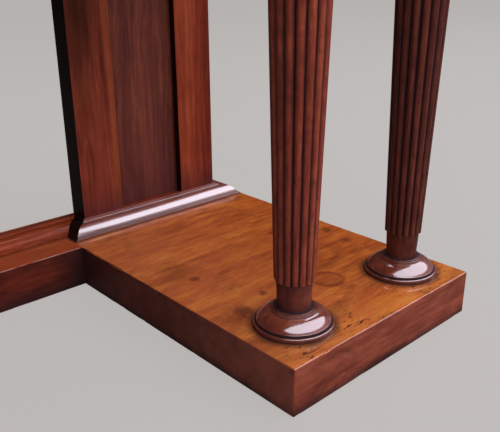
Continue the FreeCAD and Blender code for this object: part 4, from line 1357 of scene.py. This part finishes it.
# %% [markdown]
# ## Rings of a leg
# A leg is told by a few rings from bottom to top: a pin, a plain neck, the ribs that overhang it, the
# widest ring under the capital, and a pin again. Dirt and painted shade darken the grooves, and painted
# shade darkens both ends of the neck, so both are written into the mesh, where the finish finds them.

# %% Rings and wear of a leg
SHAFT_LOW = 21.4 * MM
SHAFT_HIGH = 38.0 * MM
NECK_HIGH = SHAFT_LOW - 2.4 * MM
NECK_LOW = NECK_HIGH - 1.4 * MM
REED_LOW = PLATFORM_TOP + 51.8 * MM
REED_LIP = 0.8 * MM
REED_LIP_SHARES = ((0.0, 0.97), (0.35, 0.99), (1.0, 1.0))
PIN_LOW = 10.0 * MM
PIN_HIGH = 14.0 * MM
NECK_CLEAN_SHARE = 0.45


def mark_reeds(bm, foot_top, neck_shade):
    """The hollow attribute follows the grooves, and the neck below them is darkened at both its ends as painted shade.
    """
    hollow = bm.verts.layers.float.new("hollow")
    middle = (foot_top + REED_LOW) / 2
    for vert in bm.verts:
        if vert.co.z > REED_LOW + REED_LIP / 10:
            vert[hollow] = groove_share(math.atan2(vert.co.y, vert.co.x))
        else:
            off = min(1.0, abs(vert.co.z - middle) / (REED_LOW - middle))
            vert[hollow] = neck_shade * (1 - NECK_CLEAN_SHARE * (1 - off))


def leg_rings(low, high, foot_top, reed_end):
    """Heights and radii of the rings, from the pin in the platform to the pin in the soffit."""
    middle, middle_radius = (foot_top + REED_LOW) / 2, (NECK_LOW + NECK_HIGH) / 2
    lip = [(REED_LOW + REED_LIP * rise, reeded_ring(SHAFT_LOW * share))
           for rise, share in REED_LIP_SHARES]
    return [(low, plain_ring(PIN_LOW)), (foot_top, plain_ring(PIN_LOW)), (foot_top, plain_ring(NECK_LOW)),
            (middle, plain_ring(middle_radius)), (REED_LOW, plain_ring(NECK_HIGH)), *lip,
            (reed_end, reeded_ring(SHAFT_HIGH)), (reed_end, plain_ring(PIN_HIGH)),
            (high, plain_ring(PIN_HIGH))]


print("reeds start", round((REED_LOW - PLATFORM_TOP) / MM, 1), "mm above the platform")

# %% [markdown]
# ## Legs
# One ring of points is extruded upwards again and again, and each new ring takes its radius from the
# angle round the leg, so the ribs grow with the taper. Sixteen rods stuck to a cone would look alike,
# but would leave faces inside the leg.

# %% Make the reeded legs
NECK_SHADE = {"inner": 0.82, "outer": 0.2}
# Painted shade: the outer legs take darker tones than the inner ones, so they read as shaded.
LEG_TONES = {"inner": ((0.085, 0.015, 0.010), (0.205, 0.037, 0.022), (0.350, 0.080, 0.036)),
             "outer": ((0.034, 0.008, 0.006), (0.090, 0.020, 0.013), (0.170, 0.040, 0.023))}
LEG_SHIFTS = {"inner": 0.05, "outer": 0.31}
LEG_GRIME = (0.030, 0.010, 0.009, 1.0)
LEG_GRIME_STREAKS, LEG_GRIME_LIMITS = Streaks(90.0, 90.0, 3.0), (0.48, 0.66)
LEG_GRIME_STRENGTH = 0.32


def leg_grime(finish, place, figure, colour):
    """Dark patches where wax has gathered on the reeds."""
    patch = patches(finish, place, LEG_GRIME_STREAKS, LEG_GRIME_LIMITS)
    return finish.mix(patch * LEG_GRIME_STRENGTH, colour, LEG_GRIME)


def make_leg(place, wood, neck_shade):
    node = "reeded_leg_" + place
    low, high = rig.box(node)
    axis = (low + high) / 2
    foot_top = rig.box("turned_foot_" + place)[1].z
    reed_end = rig.box("leg_capital_" + place)[0].z
    bm = bmesh.new()
    bmesh.ops.create_circle(bm, cap_ends=True, segments=REED_COUNT * REED_POINTS, radius=PIN_LOW)
    bmesh.ops.transform(bm, matrix=Matrix.Rotation(-REED_HALF_STEP, 4, "Z"), verts=bm.verts)
    ring = bm.edges[:]
    for number, (z, radius) in enumerate(leg_rings(low.z, high.z, foot_top, reed_end)):
        if number:
            made = bmesh.ops.extrude_edge_only(bm, edges=ring)["geom"]
            ring = [item for item in made if isinstance(item, bmesh.types.BMEdge)]
        for vert in {vert for edge in ring for vert in edge.verts}:
            angle = math.atan2(vert.co.y, vert.co.x)
            vert.co = Vector((math.cos(angle), math.sin(angle), 0)) * radius(angle) + UP * z
    bmesh.ops.edgeloop_fill(bm, edges=ring)
    mark_reeds(bm, foot_top, neck_shade)
    bmesh.ops.translate(bm, vec=(axis.x, axis.y, 0), verts=bm.verts)
    bmesh.ops.recalc_face_normals(bm, faces=bm.faces)
    finish_piece(bm, node, wood, "turned_mahogany")


LEG_WOODS = {row: mahogany("leg_mahogany_" + row, "Z", tones, LEG_POLISH, LEG_SHIFTS[row], [leg_grime])
             for row, tones in LEG_TONES.items()}
for side in SIDES:
    for row, leg_wood in LEG_WOODS.items():
        make_leg("%s_%s" % (side, row), leg_wood, NECK_SHADE[row])
print("legs:", len(LEG_WOODS) * len(SIDES))

# %% [markdown]
# ## Profiles for the lathe
# Feet and capitals are lathe work: half an outline spun round the axis. The foot is a disc, a small
# fillet, a swelling torus and a ring. The capital is a ring, a hollow and a disc. Both are bored for
# the leg's pins. An outline of corners and arcs is easier to change than a mesh that is shaped by hand.

# %% Profiles of the foot and the capital
FOOT_RADIUS = 42.8 * MM
DISC_TOP = 5.2 * MM
DISC_FILLET = 2.6 * MM
DISC_ROUND = 1.6 * MM
ROUND_SHARE = 0.72
FILLET_RISE = 2.4 * MM
TORUS_STEP = 0.8 * MM
DOME_SHARE = 1.3
RING_OUT = 6.6 * MM
RING_TALL = 4.4 * MM
RING_STEP = 2.1 * MM
RING_STEP_TALL = 2.2 * MM
RING_SLOPE = 0.8 * MM
CAPITAL_RING_OUT = 3.0 * MM
CAPITAL_RING_TALL = 8.0 * MM
CAPITAL_RING_SHARE = 0.58
CAPITAL_NECK_STEP = 1.5 * MM
CAPITAL_HOLLOW_SHARE = 0.83
ABACUS_OUT = 3.8 * MM
ABACUS_TALL = 12.0 * MM
BORE_PLAY = 0.2 * MM


def foot_profile(tall):
    bore = PIN_LOW + BORE_PLAY
    fillet = FOOT_RADIUS - DISC_FILLET
    fillet_top = DISC_TOP + FILLET_RISE
    ring = NECK_LOW + RING_OUT
    return [(bore, 0.0), (FOOT_RADIUS, 0.0), (FOOT_RADIUS, DISC_TOP - DISC_ROUND, ROUND_SHARE, 1),
            (FOOT_RADIUS - DISC_ROUND, DISC_TOP), (fillet, DISC_TOP),
            (fillet, fillet_top), (fillet - TORUS_STEP, fillet_top, DOME_SHARE, 1),
            (ring, tall - RING_TALL), (ring, tall - RING_STEP_TALL),
            (ring - RING_STEP, tall - RING_STEP_TALL), (ring - RING_STEP, tall - RING_SLOPE),
            (NECK_LOW, tall), (bore, tall)]


def capital_profile(tall):
    bore = PIN_HIGH + BORE_PLAY
    ring = SHAFT_HIGH + CAPITAL_RING_OUT
    abacus = SHAFT_HIGH + ABACUS_OUT
    return [(bore, 0.0), (ring, 0.0, CAPITAL_RING_SHARE, 1), (ring, CAPITAL_RING_TALL),
            (SHAFT_HIGH - CAPITAL_NECK_STEP, CAPITAL_RING_TALL, CAPITAL_HOLLOW_SHARE, -1),
            (abacus, tall - ABACUS_TALL), (abacus, tall), (bore, tall)]


print("foot:", round(2 * FOOT_RADIUS / MM, 1), "mm across")

# %% [markdown]
# ## Finish of the feet
# The swelling of the foot shines like glass, while the disc's upright face is dull and darkened as painted shade.
# The height above the platform tells one from the other, for the colour and for the gloss. Two
# materials on the one piece would do too, but would meet in a hard line.

# %% Finish of the feet
FOOT_TONES = ((0.090, 0.018, 0.012), (0.160, 0.033, 0.019), (0.245, 0.060, 0.029))
FOOT_SHADE_HEIGHT, FOOT_SHADE = 5 * MM, 0.85
DISC_GLOSS = 0.3


def foot_low_shade(finish, place, figure, colour):
    """Painted shade along the bottom of the foot, where it meets the platform."""
    height = finish.part(place, "Z")
    share = 1.0 - finish.between(height, PLATFORM_TOP, PLATFORM_TOP + FOOT_SHADE_HEIGHT)
    return finish.mix(share * FOOT_SHADE, colour, SHADE_AND_DIRT)


def foot_gloss(finish, place):
    """Gloss on the swelling and the ring. The disc's upright face and the hollows are dull."""
    disc_top = PLATFORM_TOP + DISC_TOP
    above = finish.between(finish.part(place, "Z"), disc_top - DISC_ROUND, disc_top)
    return (1.0 - finish.attribute("hollow")) * (DISC_GLOSS + above * (1.0 - DISC_GLOSS))


foot_wood = mahogany("foot_mahogany", "X", FOOT_TONES, FOOT_POLISH, shift=0.66,
                     layers=[foot_low_shade], coat_share=foot_gloss)
print("wax along the bottom of a foot:", round(FOOT_SHADE_HEIGHT / MM), "mm")

# %% [markdown]
# ## Feet and capitals
# A full spin turns each profile, and its first and last rows are merged so that no seam is left. The
# collar round the leg's neck and the fillet above the disc are darkened as painted shade, so this is
# marked on the mesh. A stack of cylinders would be quicker, but has no swelling.

# %% Turn the feet and capitals
SPIN_STEPS = 96
TURNED_EDGE = 0.6 * MM
COLLAR_RADIUS = NECK_LOW + RING_OUT - RING_STEP - TURNED_EDGE / 2


def turned(profile, axis):
    """A closed half outline of (radius, height), spun round an upright axis."""
    bm = bmesh.new()
    verts = [bm.verts.new((r, 0, z)) for r, z in trace(profile)]
    edges = [bm.edges.new(pair) for pair in zip(verts, verts[1:] + verts[:1])]
    bmesh.ops.spin(bm, geom=verts + edges, cent=(0, 0, 0), axis=UP, dvec=(0, 0, 0),
                   angle=2 * math.pi, steps=SPIN_STEPS, use_merge=True)
    bmesh.ops.translate(bm, vec=axis, verts=bm.verts)
    bmesh.ops.remove_doubles(bm, verts=bm.verts, dist=SAME_POINT)
    bmesh.ops.recalc_face_normals(bm, faces=bm.faces)
    soften(bm, TURNED_EDGE)
    mark_wear(bm)
    return bm


def darken_foot_hollows(bm, axis, tall):
    """The collar round the neck of the leg, and the fillet above the disc, are darkened as painted shade."""
    hollow = bm.verts.layers.float["hollow"]
    for vert in bm.verts:
        out = (vert.co - axis).xy.length
        height = vert.co.z - axis.z
        low_fillet = DISC_TOP - MM / 10 < height < DISC_TOP + FILLET_RISE
        on_fillet = low_fillet and out < FOOT_RADIUS - DISC_FILLET / 2
        if on_fillet or (out < COLLAR_RADIUS and height > tall - RING_TALL):
            vert[hollow] = 1.0


for place in ["%s_%s" % (side, row) for side in SIDES for row in LEG_WOODS]:
    for name, profile in (("turned_foot_", foot_profile), ("leg_capital_", capital_profile)):
        low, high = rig.box(name + place)
        axis = Vector(((low.x + high.x) / 2, (low.y + high.y) / 2, low.z))
        lathed = turned(profile(high.z - low.z), axis)
        if profile is foot_profile:
            darken_foot_hollows(lathed, axis, high.z - low.z)
        finish_piece(lathed, name + place, foot_wood, "turned_mahogany")
print("steps round a foot:", SPIN_STEPS)

# %% [markdown]
# ## Frieze
# The frieze is a box of four boards under the top. The boards are plain boxes with soft edges. The grain
# of each runs along it, so the long ones and the short ones have a finish each. With one finish for
# all four, the short boards would look as if they had been sawn across the tree.

# %% Make the frieze
BOARD_EDGE = 1.0 * MM
frieze_x = mahogany("frieze_mahogany_x", "X", RED_TONES, FLAT_POLISH, shift=0.28)
frieze_y = mahogany("frieze_mahogany_y", "Y", RED_TONES, FLAT_POLISH, shift=0.39)
FRIEZE_WOODS = {"front": frieze_x, "back": frieze_x, "left": frieze_y, "right": frieze_y}
for place, wood in FRIEZE_WOODS.items():
    rail = board(*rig.box("frieze_%s_rail" % place))
    soften(rail, BOARD_EDGE)
    finish_piece(rail, "frieze_%s_rail" % place, wood, "frieze_mahogany")
print("frieze rails:", len(FRIEZE_WOODS))

# %% [markdown]
# ## Bead
# A rounded bead runs along the frieze's lower edge on the three sides that are seen. It is one more
# moulding, mitred at the two front corners, so the helper that made the others makes it too.

# %% Make the bead
BEAD_FLAT = 1.2 * MM
BEAD_SHARE = 0.55
frieze_low, frieze_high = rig.box("frieze_front_rail")
bead_low, bead_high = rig.box("frieze_bead_front")
bead_tall = bead_high.z - bead_low.z
BEAD_SECTION = [(0.0, 0.0), (BEAD_FLAT, 0.0, BEAD_SHARE, 1), (BEAD_FLAT, bead_tall), (0.0, bead_tall)]
bead_left = Vector((frieze_low.x, frieze_low.y, bead_low.z))
bead_right = Vector((frieze_high.x, frieze_low.y, bead_low.z))
bead_start = Vector((bead_low.x, frieze_low.y, bead_low.z))
bead = moulding_run(BEAD_SECTION, bead_start, Vector((bead_high.x - bead_low.x, 0, 0)), FRONT,
                    [(bead_left, Vector((-1, 1, 0))), (bead_right, Vector((1, 1, 0)))])
finish_piece(bead, "frieze_bead_front", moulding_x, "moulding_mahogany")
for side, corner in (("left", bead_left), ("right", bead_right)):
    low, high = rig.box("frieze_bead_" + side)
    out = Vector((SIDES[side], 0, 0))
    run = moulding_run(BEAD_SECTION, Vector((corner.x, low.y, low.z)), Vector((0, high.y - low.y, 0)),
                       out, [(corner, FRONT - out)])
    finish_piece(run, "frieze_bead_" + side, moulding_y, "moulding_mahogany")
print("bead:", round(bead_tall / MM, 1), "mm high")

# %% [markdown]
# ## Top
# The top is one wide board, rounded at the front and ends, and square at the back where it meets the
# wall. It has faded like the platforms. Only the edges that are to be rounded are given to the bevel,
# where a bevel modifier would round all of them.

# %% Make the top
TOP_ROUND = 8.0 * MM
TOP_SEGMENTS = 8
top_wood = mahogany("top_mahogany", "X", SLAB_TONES, SLAB_POLISH, shift=0.81,
                    layers=[faded_top, end_grain_and_painted_light], coat_share=upward)
top_low, top_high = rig.box("table_top")
top = board(top_low, top_high)
top_middle = (top_low.z + top_high.z) / 2
rounded = [edge for edge in top.edges
           if abs((edge.verts[0].co + edge.verts[1].co).z / 2 - top_middle) > MM
           and min(edge.verts[0].co.y, edge.verts[1].co.y) < 0]
bevel_edges(top, rounded, TOP_ROUND, TOP_SEGMENTS)
finish_piece(top, "table_top", top_wood, "top_mahogany")
print("rounded edges of the top:", len(rounded))

# %% [markdown]
# ## Hidden work
# Soffits, bearers and glue blocks are sawn softwood, the dowels are beech and the screws are dull
# steel. New meshes could be made for them, but their solids are right as they are, so they stay and
# only get a finish.

# %% Finishes for the hidden pieces
PINE = ((0.20, 0.105, 0.045), (0.42, 0.27, 0.13))
BEECH = ((0.34, 0.20, 0.10), (0.50, 0.33, 0.19))
PINE_ROUGH, BEECH_ROUGH = 0.75, 0.6
GROWTH_STREAKS = Streaks(2.0, 90.0, 5.0, distortion=0.4)
GROWTH_STOPS = (0.35, 0.65)
GROWTH_ROUGH = 0.2
SAW_STREAKS = Streaks(420.0, 30.0, 2.0)
SAW_STRENGTH, SAW_DEPTH = 0.25, 0.4 * MM
STEEL_DARK, STEEL_LIGHT = (0.10, 0.09, 0.085, 1.0), (0.30, 0.28, 0.26, 1.0)
STEEL_STREAKS = Streaks(260.0, 260.0, 3.0)
STEEL_ROUGH, STEEL_STAIN_ROUGH = 0.35, 0.3


def sawn_wood(name, grain, tones, rough):
    """Unpolished wood: growth rings seen as streaks, and saw marks across them."""
    finish = Finish(bpy.data.materials.new(name))
    place = finish.node("TexCoord", out="Object")
    laid = finish.node("Mapping", {}, {"Vector": place, "Rotation": GRAIN_TURNS[grain]})
    rings = streaked(finish, laid, GROWTH_STREAKS)
    colour = finish.node("ValToRGB", {"stops": list(zip(GROWTH_STOPS, tones))}, {"Fac": rings})
    saw = streaked(finish, laid, SAW_STREAKS)
    bump = finish.node("Bump", {}, {"Strength": SAW_STRENGTH, "Distance": SAW_DEPTH, "Height": saw})
    return finish.end(finish.node("BsdfPrincipled", {}, {
        "Base Color": colour, "Roughness": rough + (rings - 0.5) * GROWTH_ROUGH, "Normal": bump}))


def dull_steel(name):
    finish = Finish(bpy.data.materials.new(name))
    stain = streaked(finish, finish.node("TexCoord", out="Object"), STEEL_STREAKS)
    return finish.end(finish.node("BsdfPrincipled", {}, {
        "Base Color": finish.mix(stain, STEEL_DARK, STEEL_LIGHT),
        "Roughness": STEEL_ROUGH + stain * STEEL_STAIN_ROUGH, "Metallic": 1.0}))


pine = sawn_wood("sawn_pine", "Y", PINE, PINE_ROUGH)
HIDDEN = {
    "soffit_left": pine, "soffit_right": pine, "top_bearer_left": pine, "top_bearer_right": pine,
    "frieze_glue_blocks": sawn_wood("block_pine", "Z", PINE, PINE_ROUGH),
    "plinth_dowels": sawn_wood("dowel_beech", "X", BEECH, BEECH_ROUGH),
    "top_screws": dull_steel("screw_steel"),
}
for node, material in HIDDEN.items():
    mesh = frame["nodes"][node].data
    mesh.materials.clear()
    mesh.materials.append(material)
print("hidden pieces:", len(HIDDEN))

# %% [markdown]
# ## Size
# The dressed table has to keep to the imported box, so both boxes are written down side by side.

# %% Write the sizes and finish
NEW_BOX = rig.bounds()
with open("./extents.json", "w") as file:
    json.dump({"cad": [list(corner) for corner in CAD_BOX],
               "visual": [list(corner) for corner in NEW_BOX]}, file)
print("box change:", [round((a - b).length / MM, 2) for a, b in zip(CAD_BOX, NEW_BOX)], "mm")
